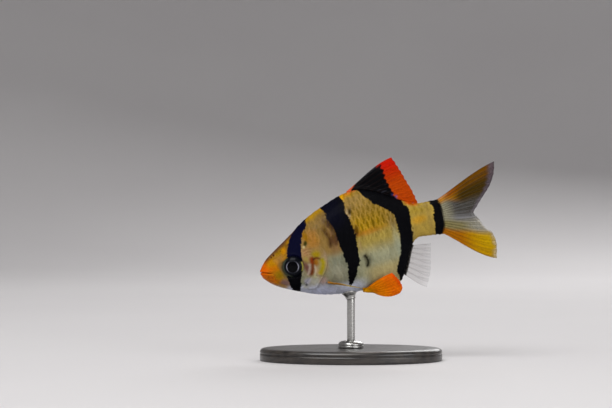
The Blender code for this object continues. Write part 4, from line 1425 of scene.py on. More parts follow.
wet_eye = eye_finish()
arc = np.linspace(0, np.pi, EYE_RINGS)[:, None]
spin = 2 * np.pi * np.arange(EYE_AROUND) / EYE_AROUND
eye_r = EYE_RADIUS * np.sin(arc) + 0 * spin
front = arc < np.pi / 2
eye_out = EYE_HALF_DEPTH * np.cos(arc) - front * GROOVE_DEPTH * bell(eye_r - 1.5, 0.1)
eye_colour = eye_paint(np.where(front, eye_r, EYE_RADIUS), spin + 0 * arc)
for which, word in ((-1, "left"), (1, "right")):
    centre, out, ahead, up = eye_axes(which)
    aside = eye_r[..., None] * (np.cos(spin)[:, None] * ahead + np.sin(spin)[:, None] * up)
    ball = in_room(centre + aside + eye_out[..., None] * out)
    rings = {"colour": eye_colour}
    tube(f"eyeball_{word}", ball, "point", "point", rings, wet_eye, (f"eye_{word}",))
print("an eyeball is", 2 * EYE_RADIUS, "mm across and", 2 * EYE_HALF_DEPTH, "mm deep")

# %% [markdown]
# ## How a fin is made
# A fin is a sheet of membrane carried by rays. A soft ray leaves the body as one rod and forks
# once or twice on its way out, and the membrane is drawn in a little between the tips. The sheet
# here is a very flat tube: out along its left face and back along its right, stitched at root and
# margin. Its half thickness is the membrane's plus a ridge wherever a branch of a ray runs. Its
# outline is that of the solids; its root starts inside the body, so that no gap shows.

# %% The sheet of a fin
BULGE_PEAK = 4 / 27
RAY_WIDTHS = (0.17, 0.085)
EDGE_ROUNDING = 0.12


def branch_distance(t, w, forked):
    """Distance, in ray spacings, from the nearest branch of the nearest ray."""
    off = np.abs(t - np.rint(t))
    first = 0.2 * smooth(0.28, 0.85, w) * forked
    second = 0.1 * smooth(0.6, 1.0, w) * forked
    return np.abs(np.abs(off - first) - second)


def middle_of_fin(root, margin, bows, t, w, sunk, scallop, early):
    """Middle sheet of a fin, at t rays across and w of the way out.

    A point is the root plus w of the way to the margin plus a bow that peaks two thirds out, or
    half way out where early is 1. The row before the root, where w is -1, is sunk into the body.
    Between its rays the margin is drawn in by scallop.
    """
    start, end = root(t), margin(t)
    length = np.linalg.norm(end - start, axis=-1)
    drawn_in = scallop * (0.5 - 0.5 * np.cos(2 * np.pi * t)) ** 0.7
    drawn_in = drawn_in + 0.35 * scallop * (1 + ripple(t, t * 0.3, 0.9))
    along = np.maximum(w, 0) * (1 - drawn_in / length * smooth(0.5, 1.0, w))
    first_bow, last_bow = (np.array(bow, float) for bow in bows)
    bow = first_bow + (last_bow - first_bow) * (t / t[-1])[:, None]
    bulge = mix(along**2 * (1 - along) / BULGE_PEAK, 4 * along * (1 - along), early)
    middle = start + (end - start) * along[..., None] + bow * bulge[..., None]
    return middle + (w < 0)[..., None] * np.array(sunk, float)


def fin_sheet(root, margin, bows, rays, fine, rows, sunk, thick, scallop, wave, early=0.0):
    """Points of both faces (rows, around, 3), t in rays, w from root to margin, and the ridge.

    Half the thickness is the web's, plus the ray's where a branch runs, plus the foot's at the
    root, and it is rounded off at the first and last ray.
    """
    t = np.linspace(0, rays - 1, (rays - 1) * fine + 1)
    w = np.concatenate([[-1.0], np.linspace(0, 1, rows) ** 0.92])[:, None]
    middle = middle_of_fin(root, margin, bows, t, w, sunk, scallop, early)
    normal = square_to(middle, closed=False)
    normal = normal * np.sign(normal[..., 1].mean())
    wander = wave * ripple(t + 0 * w, 3.0 * w, 5.5) * smooth(0.1, 1.0, w)
    middle = middle + normal * wander[..., None]
    out = np.clip(w + 0 * t, 0, 1)
    gap = branch_distance(t + 0 * w, out, np.minimum(smooth(0.3, 1.2, t), 1.0) + 0 * w)
    ridge = bell(gap, mix(*RAY_WIDTHS, smooth(0.1, 0.8, out)))
    web, ray, foot = thick
    half_thick = web + ray * ridge * (1 - 0.6 * out) * (1 + 0.5 * np.exp(-t / 0.35))
    half_thick = half_thick + foot * smooth(0.14, 0.0, out)
    half_thick *= np.sqrt(np.clip(np.minimum(t, rays - 1 - t) / EDGE_ROUNDING, 0, 1))
    half_thick[[0, -1]] = 0.0
    right = middle + normal * half_thick[..., None]
    left = middle - normal * half_thick[..., None]
    both_sides = lambda a, b: np.concatenate([a, b[:, ::-1][:, 1:-1]], axis=1)
    return both_sides(right, left), *(both_sides(g, g) for g in (t + 0 * w, out, ridge))


print("a ray's branches end", branch_distance(0.0, 1.0, 1.0).round(2), "spacings to each side")

# %% [markdown]
# ## Where a fin joins the body
# A fin's root follows the back or the belly a little way off, and its margin is a smooth line in
# the fish's middle plane. All fins hand the same values to the mesh, so that the paired and the
# single fins can share their finishes.

# %% Fin to mesh, and lines along the body
def fin_tube(name, sheet, colour, solid, finish, slot, *replaced):
    """Colour and density are painted per point; the tube is stitched at root and margin."""
    around, t, w, ridge = sheet
    paints = {"colour": colour, "body": even_alpha(solid), "ridge": ridge, "out": w, "ray": t}
    return tube(name, in_room(around), "seam", "seam", paints, finish, replaced)


def even_alpha(solid):
    """The painted density that comes out of the shader's S-shaped ramp as this alpha."""
    table = np.linspace(0, 1, 201)
    return np.interp(solid, smooth(0, 1, table), table)


def along_body(base, rays, line, sign):
    """The root of a fin: even places between two distances, 0.3 mm off the back (1) or belly (-1)
    and square to that line."""
    step, gap = 0.05, 0.3

    def place(t):
        """Where ray t leaves the body."""
        x = base[0] + (base[1] - base[0]) * t / (rays - 1)
        slope = (line(x + step) - line(x - step)) / (2 * step)
        across = np.sqrt(1 + slope**2)
        aside = x - sign * slope / across * gap
        return stacked(aside, np.zeros_like(x), line(x) + sign * gap / across)

    return place


def flat_path(points, rays=2):
    """A path in the fish's mid-plane, from the first ray to the last."""
    path = path_through(points)

    def place(t):
        """Where ray t meets the path."""
        xz = path(t / (rays - 1))
        return stacked(xz[..., 0], np.zeros_like(t), xz[..., 1])

    return place


def read_sheet(sheet):
    """Distance x, height z, ray t and share w of the way out, at each point of a fin."""
    return sheet[0][..., 0], sheet[0][..., 2], sheet[1], sheet[2]


print("a density painted", even_alpha(0.5), "gives an alpha of 0.5")

# %% [markdown]
# ## Finish of the fins
# Membrane is thin, satin and partly clear; rays are denser, so they show as fine lines and each
# is jointed like a reed. Colour and density are painted on the mesh, and the shader adds the
# joints, the fine cloudiness and a soft gloss. Clear places are let through by alpha rather than
# by refraction: at a tenth of a millimetre nothing is bent.

# %% Fin finish
FIN_CLOUD = 0.5
RAY_JOINTS = 150.0
RAY_DENSITY = 0.12


def fin_finish(name, ray_tint, ray_share):
    """Painted membrane with darker, denser, jointed rays."""
    gloss = {
        "Roughness": 0.45, "Specular IOR Level": 0.035, "Coat Weight": 0.02, "Coat Roughness": 0.2,
    }
    finish, tree = new_finish(name, gloss)
    cloud = grain(place_in_room(tree), FIN_CLOUD, 3.0, 0.6)
    joints = sine_of(painted(tree, "out"), RAY_JOINTS)
    ridge = painted(tree, "ridge")
    jointed = product(ridge, ramp(joints, -0.9, 0.9, 0.75, 1.0))
    rays = product(jointed, ray_share)
    colour = blend_colour(rays, painted_colour(tree, "colour"), opaque(ray_tint))
    shade = ramp(cloud, 0.25, 0.75, 0.85, 1.12)
    dense = sum_of(painted(tree, "body"), product(ridge, RAY_DENSITY))
    return driven(finish, {
        "Base Color": shaded(colour, shade),
        "Alpha": ramp(dense, 0.0, 1.0),
        "Roughness": ramp(cloud, 0.3, 0.7, 0.36, 0.5),
        "Normal": raised(jointed, 0.03, 0.5),
    })


dorsal_finish = fin_finish("dorsal_membrane", paint(40, 10, 4), 0.12)
tail_finish = fin_finish("tail_membrane", paint(52, 42, 20), 0.26)
pelvic_finish = fin_finish("pelvic_membrane", paint(160, 60, 0), 0.3)
clear_finish = fin_finish("clear_membrane", paint(124, 118, 114), 0.18)
print("finishes so far:", len(bpy.data.materials))

# %% [markdown]
# ## Dorsal fin
# Eleven rays lean back over the body. The fin is black from its base, and the black ends in a
# ragged line; behind it is a broad red band, scarlet at the peak and orange towards the base.
# A thin greyish edge runs up its front.

# %% Sheet of the dorsal fin
DORSAL_BASE = (26.4, 41.4)
DORSAL_RAYS = 11
DORSAL_MARGIN = [
    (39.75, 18.3), (40.45, 16.5), (41.1, 14.1), (41.75, 11.6), (42.4, 9.2), (43.1, 4.5),
]
dorsal = fin_sheet(
    along_body(DORSAL_BASE, DORSAL_RAYS, back_height, 1), flat_path(DORSAL_MARGIN, DORSAL_RAYS),
    bows=((-0.222, 0, 0.558), (0.1, 0, -0.4)), rays=DORSAL_RAYS, fine=16, rows=56,
    sunk=(0.2, 0, -1.2), thick=(0.06, 0.08, 0.42), scallop=0.12, wave=0.12,
)
peak_x, peak_z = DORSAL_MARGIN[0]
print("the dorsal fin stands", round(peak_z - float(back_height(peak_x)), 1), "mm high")

# %% [markdown]
# ## Colours of the dorsal fin
# The edge of the black is measured like a bar's edge, at a few heights, and made ragged. The red
# behind it turns to orange towards the base, with a darker line beside each ray. A few blue and
# grey glints keep the black from looking like a hole.

# %% Paint and make the dorsal fin
BLACK_EDGE = [
    (17.6, 36.6), (15.4, 36.7), (13.8, 36.8), (12.1, 37.05), (10.4, 37.35), (8.8, 37.7),
    (7.6, 38.1), (6.5, 39.1), (5.7, 40.0),
]
fin_x, fin_z, fin_t, fin_w = read_sheet(dorsal)
edge_height, edge_place = np.array(BLACK_EDGE)[::-1].T
behind_black = fin_x - np.interp(fin_z, edge_height, edge_place)
behind_black += 0.2 * ripple(fin_x * 0.35, fin_z, 1.25) + 0.1 * np.cos(2 * np.pi * fin_t)
beside_rays = 0.5 + 0.5 * np.cos(2 * np.pi * fin_t * 2 + 1.2 * ripple(fin_x, fin_z, 2.5))
scarlet = layered(
    paint(178, 64, 0),
    (paint(184, 20, 0), smooth(11.0, 17.0, fin_z)),
    (paint(174, 64, 0), 0.6 * smooth(9.0, 6.4, fin_z)),
    (paint(142, 44, 0), 0.35 * beside_rays * smooth(17.0, 15.0, fin_z)),
)
front_edge = bell(fin_t, 0.3)
grey_part = smooth(29.2, 30.4, fin_x) * smooth(36.6, 35.4, fin_x) * front_edge
glints = smooth(0.75, 1.25, ripple(fin_x * 0.5, fin_z * 2.2, 1.6)) * smooth(13.8, 11.0, fin_z)
dorsal_colour = layered(
    paint(3, 3, 5),
    (scarlet, smooth(-0.14, 0.14, behind_black)),
    (paint(36, 44, 96), 0.8 * bell(np.hypot(fin_x - 37.35, fin_z - 9.2), 0.28)),
    (paint(96, 90, 150), 0.8 * bell(np.hypot(fin_x - 38.15, fin_z - 8.5), 0.28)),
    (paint(50, 48, 52), 0.9 * grey_part),
    (paint(204, 92, 54), smooth(29.6, 28.4, fin_x + 1.6 * fin_t)),
    (paint(184, 30, 10), smooth(35.0, 35.8, fin_x) * front_edge),
    (paint(44, 44, 52), 0.5 * glints * (behind_black < -0.4)),
)
solid = 1.0 - 0.2 * grey_part - 0.12 * smooth(0.94, 1.0, fin_w)
fin_tube("dorsal", dorsal, dorsal_colour, solid, dorsal_finish, "dorsal_fin", "dorsal_fin")
print(f"black covers {(behind_black < 0).mean():.0%} of the dorsal fin")

# %% [markdown]
# ## Tail fin
# Nineteen rays fan from the curved end of the tail stalk into two lobes. They are one sheet, since
# the fork is only where the rays are short. The rows of points that carry the first and last ray
# start right at the stalk's corners, so that the fin looks grown and not pinned on.

# %% Sheet of the tail fin
UPPER_RAYS = 10
LOWER_RAYS = 9
UPPER_MARGIN = flat_path([(64.4, 10.1), (63.6, 7.6), (61.7, 4.7), (58.5, 1.75), (55.9, -0.7)])
LOWER_MARGIN = flat_path([(55.85, -1.15), (57.5, -4.4), (58.9, -6.9), (59.25, -9.6), (58.2, -13.6)])
UPPER_LEVELS = (0.97, 0.035)
LOWER_LEVELS = (-0.035, -0.955)
ROOT_GAP = 0.3


def lobe_share(t):
    """Share across the upper lobe, across the lower lobe, and across the fork between them."""
    upper = np.clip(t / (UPPER_RAYS - 1), 0, 1)
    lower = np.clip((t - UPPER_RAYS) / (LOWER_RAYS - 1), 0, 1)
    return upper, lower, np.clip(t - (UPPER_RAYS - 1), 0, 1)[..., None]


def tail_root(t):
    """Along the end of the tail stalk, from its upper corner to its lower one."""
    upper, lower, fork = lobe_share(t)
    v = mix(mix(*UPPER_LEVELS, upper), mix(*LOWER_LEVELS, lower), fork[..., 0])
    x = stalk_end(v) + ROOT_GAP
    return stacked(x, np.zeros_like(x), height_at(x, v))


def tail_margin(t):
    """Down the upper lobe's rear edge, through the fork, and down the lower lobe's."""
    upper, lower, fork = lobe_share(t)
    return mix(UPPER_MARGIN(upper), LOWER_MARGIN(lower), fork)


tail = fin_sheet(
    tail_root, tail_margin, bows=((-0.135, 0, 0.4275), (-0.35, 0, -0.55)),
    rays=UPPER_RAYS + LOWER_RAYS, fine=14, rows=62,
    sunk=(-1.2, 0, 0), thick=(0.05, 0.1, 0.4), scallop=0.06, wave=0.15,
)
print("the tail fin spans", round(float(np.ptp(tail[0][..., 2])), 1), "mm from tip to tip")

# %% [markdown]
# ## Colours of the tail fin
# Both lobes start orange. The upper one turns olive behind its leading edge, the lower one a clear
# yellow. Between them, and along the rear margin, the membrane is grey and lets light through.
# Each colour is a tint over the last, with its share told by the ray and the way out.

# %% Paint and make the tail fin
fin_x, fin_z, fin_t, fin_w = read_sheet(tail)
far = fin_x - 48.5
upper_side = smooth(10.0, 8.2, fin_t)
lower_side = smooth(10.6, 12.6, fin_t)
upper_edge = 2.4 + 3.2 * smooth(0.8, 6.0, far)
upper_reach = smooth(upper_edge + 1.5, upper_edge - 1.2, fin_t)
lower_edge = 15.3 - 1.3 * smooth(0.0, 6.0, far)
lower_reach = smooth(lower_edge - 1.1, lower_edge + 0.8, fin_t)
khaki_part = smooth(10.8, 12.8, fin_t + 0.1 * far)
margin_clear = smooth(0.86, 0.95, fin_w - 0.04 * lower_side + 0.02 * ripple(fin_t, fin_w, 1.1))
leading = layered(paint(138, 72, 0), (paint(160, 106, 0), smooth(1.0, 3.0, fin_t)))
upper_tint = layered(
    paint(176, 116, 0),
    (leading, smooth(0.5, 2.6, far)),
    (paint(98, 60, 0), smooth(2.6, 6.5, far)),
    (paint(62, 44, 0), smooth(0.9, 3.2, fin_t) * smooth(2.0, 6.0, far)),
)
lower_tint = layered(
    paint(152, 90, 0),
    (paint(172, 128, 0), smooth(2.0, 6.5, far)),
    (paint(182, 144, 0), smooth(5.5, 9.0, far) * smooth(18.0, 15.5, fin_t)),
)
outer_grey = layered(paint(72, 70, 66), (paint(118, 118, 120), smooth(8.0, 11.0, fin_t)))
khaki = layered(paint(128, 118, 72), (paint(148, 144, 124), smooth(3.0, 8.0, far)))
tail_colour = layered(
    paint(140, 136, 112),
    (outer_grey, smooth(0.5, 3.5, far)),
    (khaki, khaki_part),
    (upper_tint, upper_reach),
    (lower_tint, lower_reach),
    (paint(40, 36, 28), 0.3 * tail[3] * (1 - lower_reach)),
    (paint(176, 126, 96), 0.6 * bell(fin_t, 1.0) * smooth(3.4, 0.6, far)),
    (paint(84, 74, 84), 0.85 * margin_clear * upper_side),
    (paint(176, 152, 60), 0.6 * margin_clear * lower_side),
    (paint(9, 9, 14), smooth(-0.2, 0.2, depth_in_bars(fin_x, fin_z))),
)
between = 0.78 - 0.3 * khaki_part * smooth(3.0, 8.0, far)
solid = mix(between, 1.0, np.clip(upper_reach + lower_reach, 0, 1))
solid = np.maximum(solid - (0.25 + 0.3 * lower_side) * margin_clear, 0.95 * smooth(2.2, 0.2, far))
fin_tube(
    "tail", tail, tail_colour, solid, tail_finish, "tail_fin",
    "caudal_lobe_upper", "caudal_lobe_lower",
)
print(f"the tail fin is {solid.mean():.0%} solid on the whole")

# %% [markdown]
# ## Anal fin
# Close behind the belly hangs a small fin that is clear as glass apart from its rays. It is made
# in the same way as the dorsal fin, with a lower density.

# %% Anal fin
ANAL_BASE = (34.5, 38.6)
ANAL_RAYS = 8
ANAL_MARGIN = [(39.3, -15.6), (41.0, -12.6), (42.2, -9.0), (43.3, -5.3)]
anal = fin_sheet(
    along_body(ANAL_BASE, ANAL_RAYS, belly_height, -1), flat_path(ANAL_MARGIN, ANAL_RAYS),
    bows=((-0.18, 0, -0.24), (0, 0, 0)), rays=ANAL_RAYS, fine=16, rows=44,
    sunk=(-0.5, 0, 1.2), thick=(0.045, 0.1, 0.35), scallop=0.06, wave=0.1,
)
_, _, _, fin_w = read_sheet(anal)
at_root = smooth(0.08, 0.02, fin_w)
anal_colour = layered(
    paint(150, 144, 138), (paint(156, 152, 154), fin_w), (paint(22, 21, 18), at_root)
)
solid = np.maximum(0.17 - 0.1 * smooth(0.6, 1.0, fin_w), 0.95 * at_root)
fin_tube("anal", anal, anal_colour, solid, clear_finish, "clear_fin", "anal_fin")
print("the anal fin's membrane has a density of", round(float(solid.min()), 2), "at its margin")

# %% [markdown]
# ## Pelvic fins
# The pair under the belly is spread back along the flank, bright orange with a redder rear rim and
# a yellow root. Each root is a small fleshy pad that grows out of the body beside the belly line.
# The right fin is the left one's mirror image: one factor of -1 on the width turns it over.

# %% Pelvic fins
PELVIC_ROOT = (23.5, 25.3)
PELVIC_LEVEL = -0.965
PELVIC_GAP = 0.72
PELVIC_MARGIN = [
    (31.7, 5.2, -9.55), (32.95, 4.95, -12.0), (33.15, 4.55, -13.9), (32.3, 4.2, -14.95),
]
PELVIC_RAYS = 9
PELVIC_BOWS = np.array([(-0.2, 0.7, 0.45), (-0.3, 0.4, -1.25)])


def off_flank(x, v, gap, which):
    """Places off the flank, by gap square to the skin, on side -1 or 1."""
    step = 0.01
    body = lambda a, b: stacked(a, -width_at(a, b), height_at(a, b))
    here = body(x, v)
    square = np.cross(body(x + step, v) - here, body(x, v + step) - here)
    square /= np.linalg.norm(square, axis=-1, keepdims=True)
    return (here + square * gap) * np.array([1.0, -which, 1.0])


def pelvic(which, word):
    """The pelvic fin of side -1 or 1: a root off the flank, and a margin in open water."""
    start, end = PELVIC_ROOT
    margin = path_through(PELVIC_MARGIN)
    mirror = np.array([1.0, which, 1.0])
    share = lambda t: t / (PELVIC_RAYS - 1)

    def root(t):
        """Even places along the flank at one level."""
        x = start + (end - start) * share(t)
        return off_flank(x, np.full_like(x, PELVIC_LEVEL), PELVIC_GAP, which)

    sheet = fin_sheet(
        root, lambda t: margin(share(t)) * mirror, bows=PELVIC_BOWS * mirror,
        rays=PELVIC_RAYS, fine=14, rows=46, sunk=(0.2, -0.4 * which, 1.6),
        thick=(0.06, 0.1, 0.42), scallop=0.08, wave=0.16, early=1.0,
    )
    _, _, t, w = read_sheet(sheet)
    colour = layered(
        paint(208, 148, 4),
        (paint(220, 122, 0), smooth(0.04, 0.35, w)),
        (paint(222, 106, 0), smooth(0.4, 0.8, w)),
        (paint(218, 76, 0), smooth(0.86, 0.97, w) * smooth(6.6, 4.0, t)),
        (paint(224, 84, 0), 0.6 * bell(t, 0.5) * smooth(0.5, 0.8, w)),
        (paint(200, 86, 0), 0.5 * smooth(0.55, 1.1, ripple(t, w * 6, 2.6))),
    )
    solid = 1.0 - 0.15 * smooth(0.95, 1.0, w)
    fin_tube(
        f"pelvic_{word}", sheet, colour, solid, pelvic_finish, "pelvic_fin", f"pelvic_fin_{word}"
    )


for which, word in ((-1, "left"), (1, "right")):
    pelvic(which, word)
print("pelvic fins reach", max(place[1] for place in PELVIC_MARGIN), "mm out to each side")

# %% [markdown]
# ## Pectoral fins
# The fins behind the gills are held out like wings, so from the side only their edge shows, as an
# amber line. From above they are clear fans. Their rays all have one root and differ only in angle,
# so the margin is worked out from angles and lengths instead of from places.

# %% Pectoral fins
PECTORAL_ROOT = [(15.5, -7.35), (16.9, -8.15)]
PECTORAL_GAP = 0.55
PECTORAL_LENGTH = 9.4
PECTORAL_LAST = 0.78
PECTORAL_ANGLES = (58.0, 12.0)
PECTORAL_DROOP = math.radians(24.5)
PECTORAL_RAYS = 10


def pectoral(which, word):
    """The pectoral fin of side -1 or 1: rays fan out and back from a short root, and droop."""
    base = path_through(PECTORAL_ROOT)
    share = lambda t: t / (PECTORAL_RAYS - 1)

    def root(t):
        """Places just off the flank, behind the gill cover."""
        x, z = base(share(t)).T
        return stacked(x, which * (width_at(x, level_of(x, z)) + PECTORAL_GAP), z)

    def margin(t):
        """The root plus each ray's length at its own angle; the last rays are shorter."""
        turn = np.radians(mix(*PECTORAL_ANGLES, share(t)))
        length = PECTORAL_LENGTH * (1 - (1 - PECTORAL_LAST) * share(t))
        back, out = length * np.cos(turn), length * np.sin(turn)
        level, drop = back * math.cos(PECTORAL_DROOP), back * math.sin(PECTORAL_DROOP)
        return root(t) + stacked(level, which * out, -drop)

    sheet = fin_sheet(
        root, margin, bows=((0, 0, 0.35), (0, 0, 0)), rays=PECTORAL_RAYS, fine=14, rows=44,
        sunk=(0.3, -1.2 * which, 0.3), thick=(0.045, 0.09, 0.14), scallop=0.14, wave=0.0,
    )
    _, _, t, w = read_sheet(sheet)
    colour = layered(
        paint(172, 122, 4),
        (paint(172, 134, 34), smooth(0.1, 0.6, w)),
        (paint(168, 150, 96), smooth(0.4, 1.0, w)),
        (paint(176, 112, 0), bell(t, 0.8) * smooth(1.0, 0.5, w)),
    )
    solid = mix(0.58, 0.95, np.maximum(bell(t, 0.7), smooth(0.2, 0.0, w)))
    fin_tube(
        f"pectoral_{word}", sheet, colour, solid, clear_finish, "pectoral_fin",
        f"pectoral_fin_{word}",
    )


for which, word in ((-1, "left"), (1, "right")):
    pectoral(which, word)
stand_out = PECTORAL_LENGTH * math.sin(math.radians(PECTORAL_ANGLES[0]))
print("pectoral fins stand out by", round(stand_out, 1), "mm")

# %% [markdown]
# ## The stand
# A museum maker would hold so light a fish on one steel rod that ends in a small saucer shaped to
# the belly. The base is a low oval of black-stained wood with a turned moulding. All of it comes
# from profiles carried round a ring, as a lathe or a router would cut it.

# %% Wood and steel
WOOD_FIGURE = 1.1
WOOD_PORES = 0.25
TURNING_MARKS = 0.12


def stretched(tree, along, upright):
    """The place in the room, drawn out along x, or round the rod, so that grain runs that way."""
    scale = {"Vector": place_in_room(tree), "Scale": (along, upright, 1.0)}
    return node("Mapping", scale)


def wood_finish():
    """Black stain over long figure and open pores, under satin lacquer."""
    finish, tree = new_finish(
        "black_stained_wood", {"Roughness": 0.32, "Coat Weight": 0.35, "Coat Roughness": 0.2}
    )
    figure = grain(stretched(tree, 0.12, 1.0), WOOD_FIGURE, 5.0, 0.6)
    pores = grain(stretched(tree, 0.06, 1.0), WOOD_PORES, 2.0)
    dark, light, pore = (opaque(paint(*c)) for c in ((30, 28, 27), (58, 52, 47), (14, 13, 12)))
    colour = blend_colour(ramp(figure, 0.35, 0.68), dark, light)
    colour = blend_colour(ramp(pores, 0.6, 0.72, 0.0, 0.7), colour, pore)
    return driven(finish, {
        "Base Color": colour,
        "Roughness": ramp(figure, 0.3, 0.7, 0.28, 0.42),
        "Normal": raised(sum_of(figure, pores), 0.05, 0.35),
    })


def steel_finish():
    """Bare steel with the fine rings that a lathe tool leaves."""
    finish, tree = new_finish("turned_steel", {"Metallic": 1.0, "Roughness": 0.28})
    rings = grain(stretched(tree, 0.05, 0.05), TURNING_MARKS, 3.0, 0.7)
    dull, bright = opaque(paint(150, 150, 148)), opaque(paint(196, 195, 192))
    return driven(finish, {
        "Base Color": blend_colour(rings, dull, bright),
        "Roughness": ramp(rings, 0.3, 0.7, 0.22, 0.38),
        "Normal": raised(rings, 0.01, 0.4),
    })


wood = wood_finish()
steel = steel_finish()
print("finishes of the stand:", wood.name, "and", steel.name)

# %% [markdown]
# ## Cup, rod and where they stand
# The cup is set square to the belly line over the rod's place, so it leans as the fish does. Its
# foot, tipped into the room with the fish, says where the rod stands and how tall it is, and the
# base is centred on the rod. Only then can the wood be cut.

# %% Measure the stand
CUP_REACH = 1.7
ROD_INTO_CUP = 0.4
PROFILE_AROUND = 72
step = 0.5
rise = float(belly_height(ROD_PLACE + step) - belly_height(ROD_PLACE - step))
belly_slope = math.atan2(rise, 2 * step)
down = np.array([math.sin(belly_slope), 0.0, -math.cos(belly_slope)])
along_belly = np.array([math.cos(belly_slope), 0.0, math.sin(belly_slope)])
cup_foot = np.array([ROD_PLACE, 0.0, belly_over_rod]) + down * CUP_REACH
rod_x = float(in_room(cup_foot)[0]) / MM
rod_top = float(in_room(cup_foot - down * ROD_INTO_CUP)[2]) / MM
around = 2 * np.pi * np.arange(PROFILE_AROUND) / PROFILE_AROUND


def edged_profile(points, steps):
    """Even places along straight runs between a profile's points, each corner kept."""
    p = np.array(points, float)
    runs = [
        mix(a, b, np.linspace(0, 1, n, endpoint=False)[:, None]) for a, b, n in zip(p, p[1:], steps)
    ]
    return np.concatenate([*runs, p[-1:]])


print("the rod stands at x =", round(rod_x, 2), "mm and is", round(rod_top, 2), "mm tall")

# %% [markdown]
# ## Base
# A router follows the oval and cuts the same moulding all the way round: a small foot, a straight
# side with a bead, and a rounded top edge. So the base is one profile of inset and height, carried
# square to the oval, with the top and the underside filled by rings that shrink to the middle.

# %% Base
BASE_HALF = (23.0, 15.0)
BASE_AROUND = 144
BASE_FILL = 7
BASE_PROFILE = [
    (0.45, 0.0), (0.1, 0.12), (0.0, 0.4), (0.0, 1.72), (0.16, 1.84), (0.16, 1.98), (0.0, 2.1),
    (0.03, 2.42), (0.16, 2.72), (0.42, 2.98), (0.78, 3.14), (1.2, BASE_THICKNESS),
]
spin = 2 * np.pi * np.arange(BASE_AROUND) / BASE_AROUND
circle = stacked(np.cos(spin), np.sin(spin))
slant = circle * BASE_HALF[::-1]
slant /= np.linalg.norm(slant, axis=-1, keepdims=True)
inset, high = edged_profile(BASE_PROFILE, [2, 2, 4, 2, 2, 2, 2, 2, 2, 2, 2]).T
walls = (circle * BASE_HALF)[None] - slant[None] * inset[:, None, None]
fill = np.linspace(0, 1, BASE_FILL + 1)[:-1, None, None]
flat = np.concatenate([walls[0] * fill, walls, walls[-1] * fill[::-1]]) + [rod_x, 0]
heights = np.concatenate([np.zeros(BASE_FILL), high, np.full(BASE_FILL, BASE_THICKNESS)])
upright = np.broadcast_to(heights[:, None, None], (*flat.shape[:2], 1))
base_rings = np.concatenate([flat, upright], axis=-1)
tube("base", base_rings * MM, "point", "point", {}, wood, ("stand_base",))
print("the base is", np.ptp(base_rings[..., :2], axis=(0, 1)).round(1), "mm")

# %% [markdown]
# ## Collar and rod
# Both are turned on a lathe: a profile of radius and height about the rod's axis. The collar hides
# the hole in the wood, and its edges are rounded, as a turner would leave them. The profiles start
# and end at radius 0, so both pieces are closed.

# %% Turned steel
COLLAR_PROFILE = [
    (0.0, 3.2), (3.05, 3.2), (3.2, 3.32), (3.2, 3.84), (3.08, 3.92), (3.2, 4.0), (3.16, 4.3),
    (2.95, 4.62), (2.5, 4.88), (1.9, 5.02), (1.5, 5.1), (1.22, 5.1), (1.1, 5.0), (0.0, 5.0),
]
ROD_PROFILE = [
    (0.0, 4.6), (0.94, 4.6), (1.0, 4.7), (1.0, rod_top - 0.5), (0.9, rod_top), (0.0, rod_top),
]


def turned(name, profile, steps, replaced):
    """A profile of radius and height turned about the rod's axis."""
    rz = edged_profile(profile, steps)
    x = rod_x + rz[:, :1] * np.cos(around)
    y = rz[:, :1] * np.sin(around)
    rings = stacked(x, y, rz[:, 1:] + 0 * around)
    return tube(name, rings * MM, "point", "point", {}, steel, (replaced,))


turned("collar", COLLAR_PROFILE, [4, 2, 3, 2, 2, 2, 2, 2, 2, 2, 2, 2, 2], "stand_collar")
turned("rod", ROD_PROFILE, [3, 2, 12, 2, 3], "stand_rod")
print("the collar is", 2 * max(r for r, _ in COLLAR_PROFILE), "mm across")

# %% [markdown]
# ## Cup
# The fish is light, so it rests in a saucer no wider than a lentil. The saucer's profile gives
# radius and a share of the way up to the belly: share 0 is its foot and share 1 the belly's own
# surface over it. Its top face is therefore the belly's exact shape, a hair below the skin.

# %% Cup
CUP_PROFILE = [
    (0.0, 0.0), (1.1, 0.0), (1.22, 0.08), (1.24, 0.3), (1.36, 0.5), (1.66, 0.72), (1.86, 0.86),
    (1.9, 0.95), (1.84, 1.0), (0.0, 1.0),
]
BELOW_SKIN = 0.04


def belly_under(x, y):
    """Height of the body's underside at distance x, y aside: the inverse of width_at, below."""
    v = -np.sqrt(np.maximum(1 - (np.abs(y) / half_width(x)) ** (2 / BELLY_FULLNESS), 0))
    return height_at(x, v)


rs = edged_profile(CUP_PROFILE, [4, 2, 3, 3, 3, 3, 2, 2, 6])
ring = np.cos(around)[:, None] * along_belly + np.sin(around)[:, None] * np.array([0.0, 1.0, 0.0])
disc = cup_foot + rs[:, :1, None] * ring
room_above = belly_under(disc[..., 0], disc[..., 1]) - BELOW_SKIN - disc[..., 2]
disc[..., 2] += rs[:, 1:] * room_above
tube("cup", in_room(disc), "point", "point", {}, steel, ("stand_cup",))
print("the cup's walls rise up to", room_above.max().round(2), "mm")

# %% [markdown]
# ## Floor
# The fish is shown on a plain pale sweep, a floor that curves up all round like a shallow bowl, so
# that it looks the same from every side and no horizon cuts through the tail. A faint unevenness
# keeps the paper from looking like an empty picture.

# %% Sweep of pale paper
SWEEP_FLAT = 0.62
SWEEP_RADIUS = 0.75
SWEEP_TOP = 2.4
SWEEP_AROUND = 96
PAPER_CLOUD = 160.0


def paper_finish():
    """Matt pale paper with a broad, faint unevenness."""
    finish, tree = new_finish("pale_paper", {"Roughness": 0.85, "Specular IOR Level": 0.1})
    cloud = grain(place_in_room(tree), PAPER_CLOUD, 2.0)
    dull, bright = opaque(paint(206, 203, 204)), opaque(paint(214, 212, 212))
    return driven(finish, {"Base Color": blend_colour(cloud, dull, bright)})


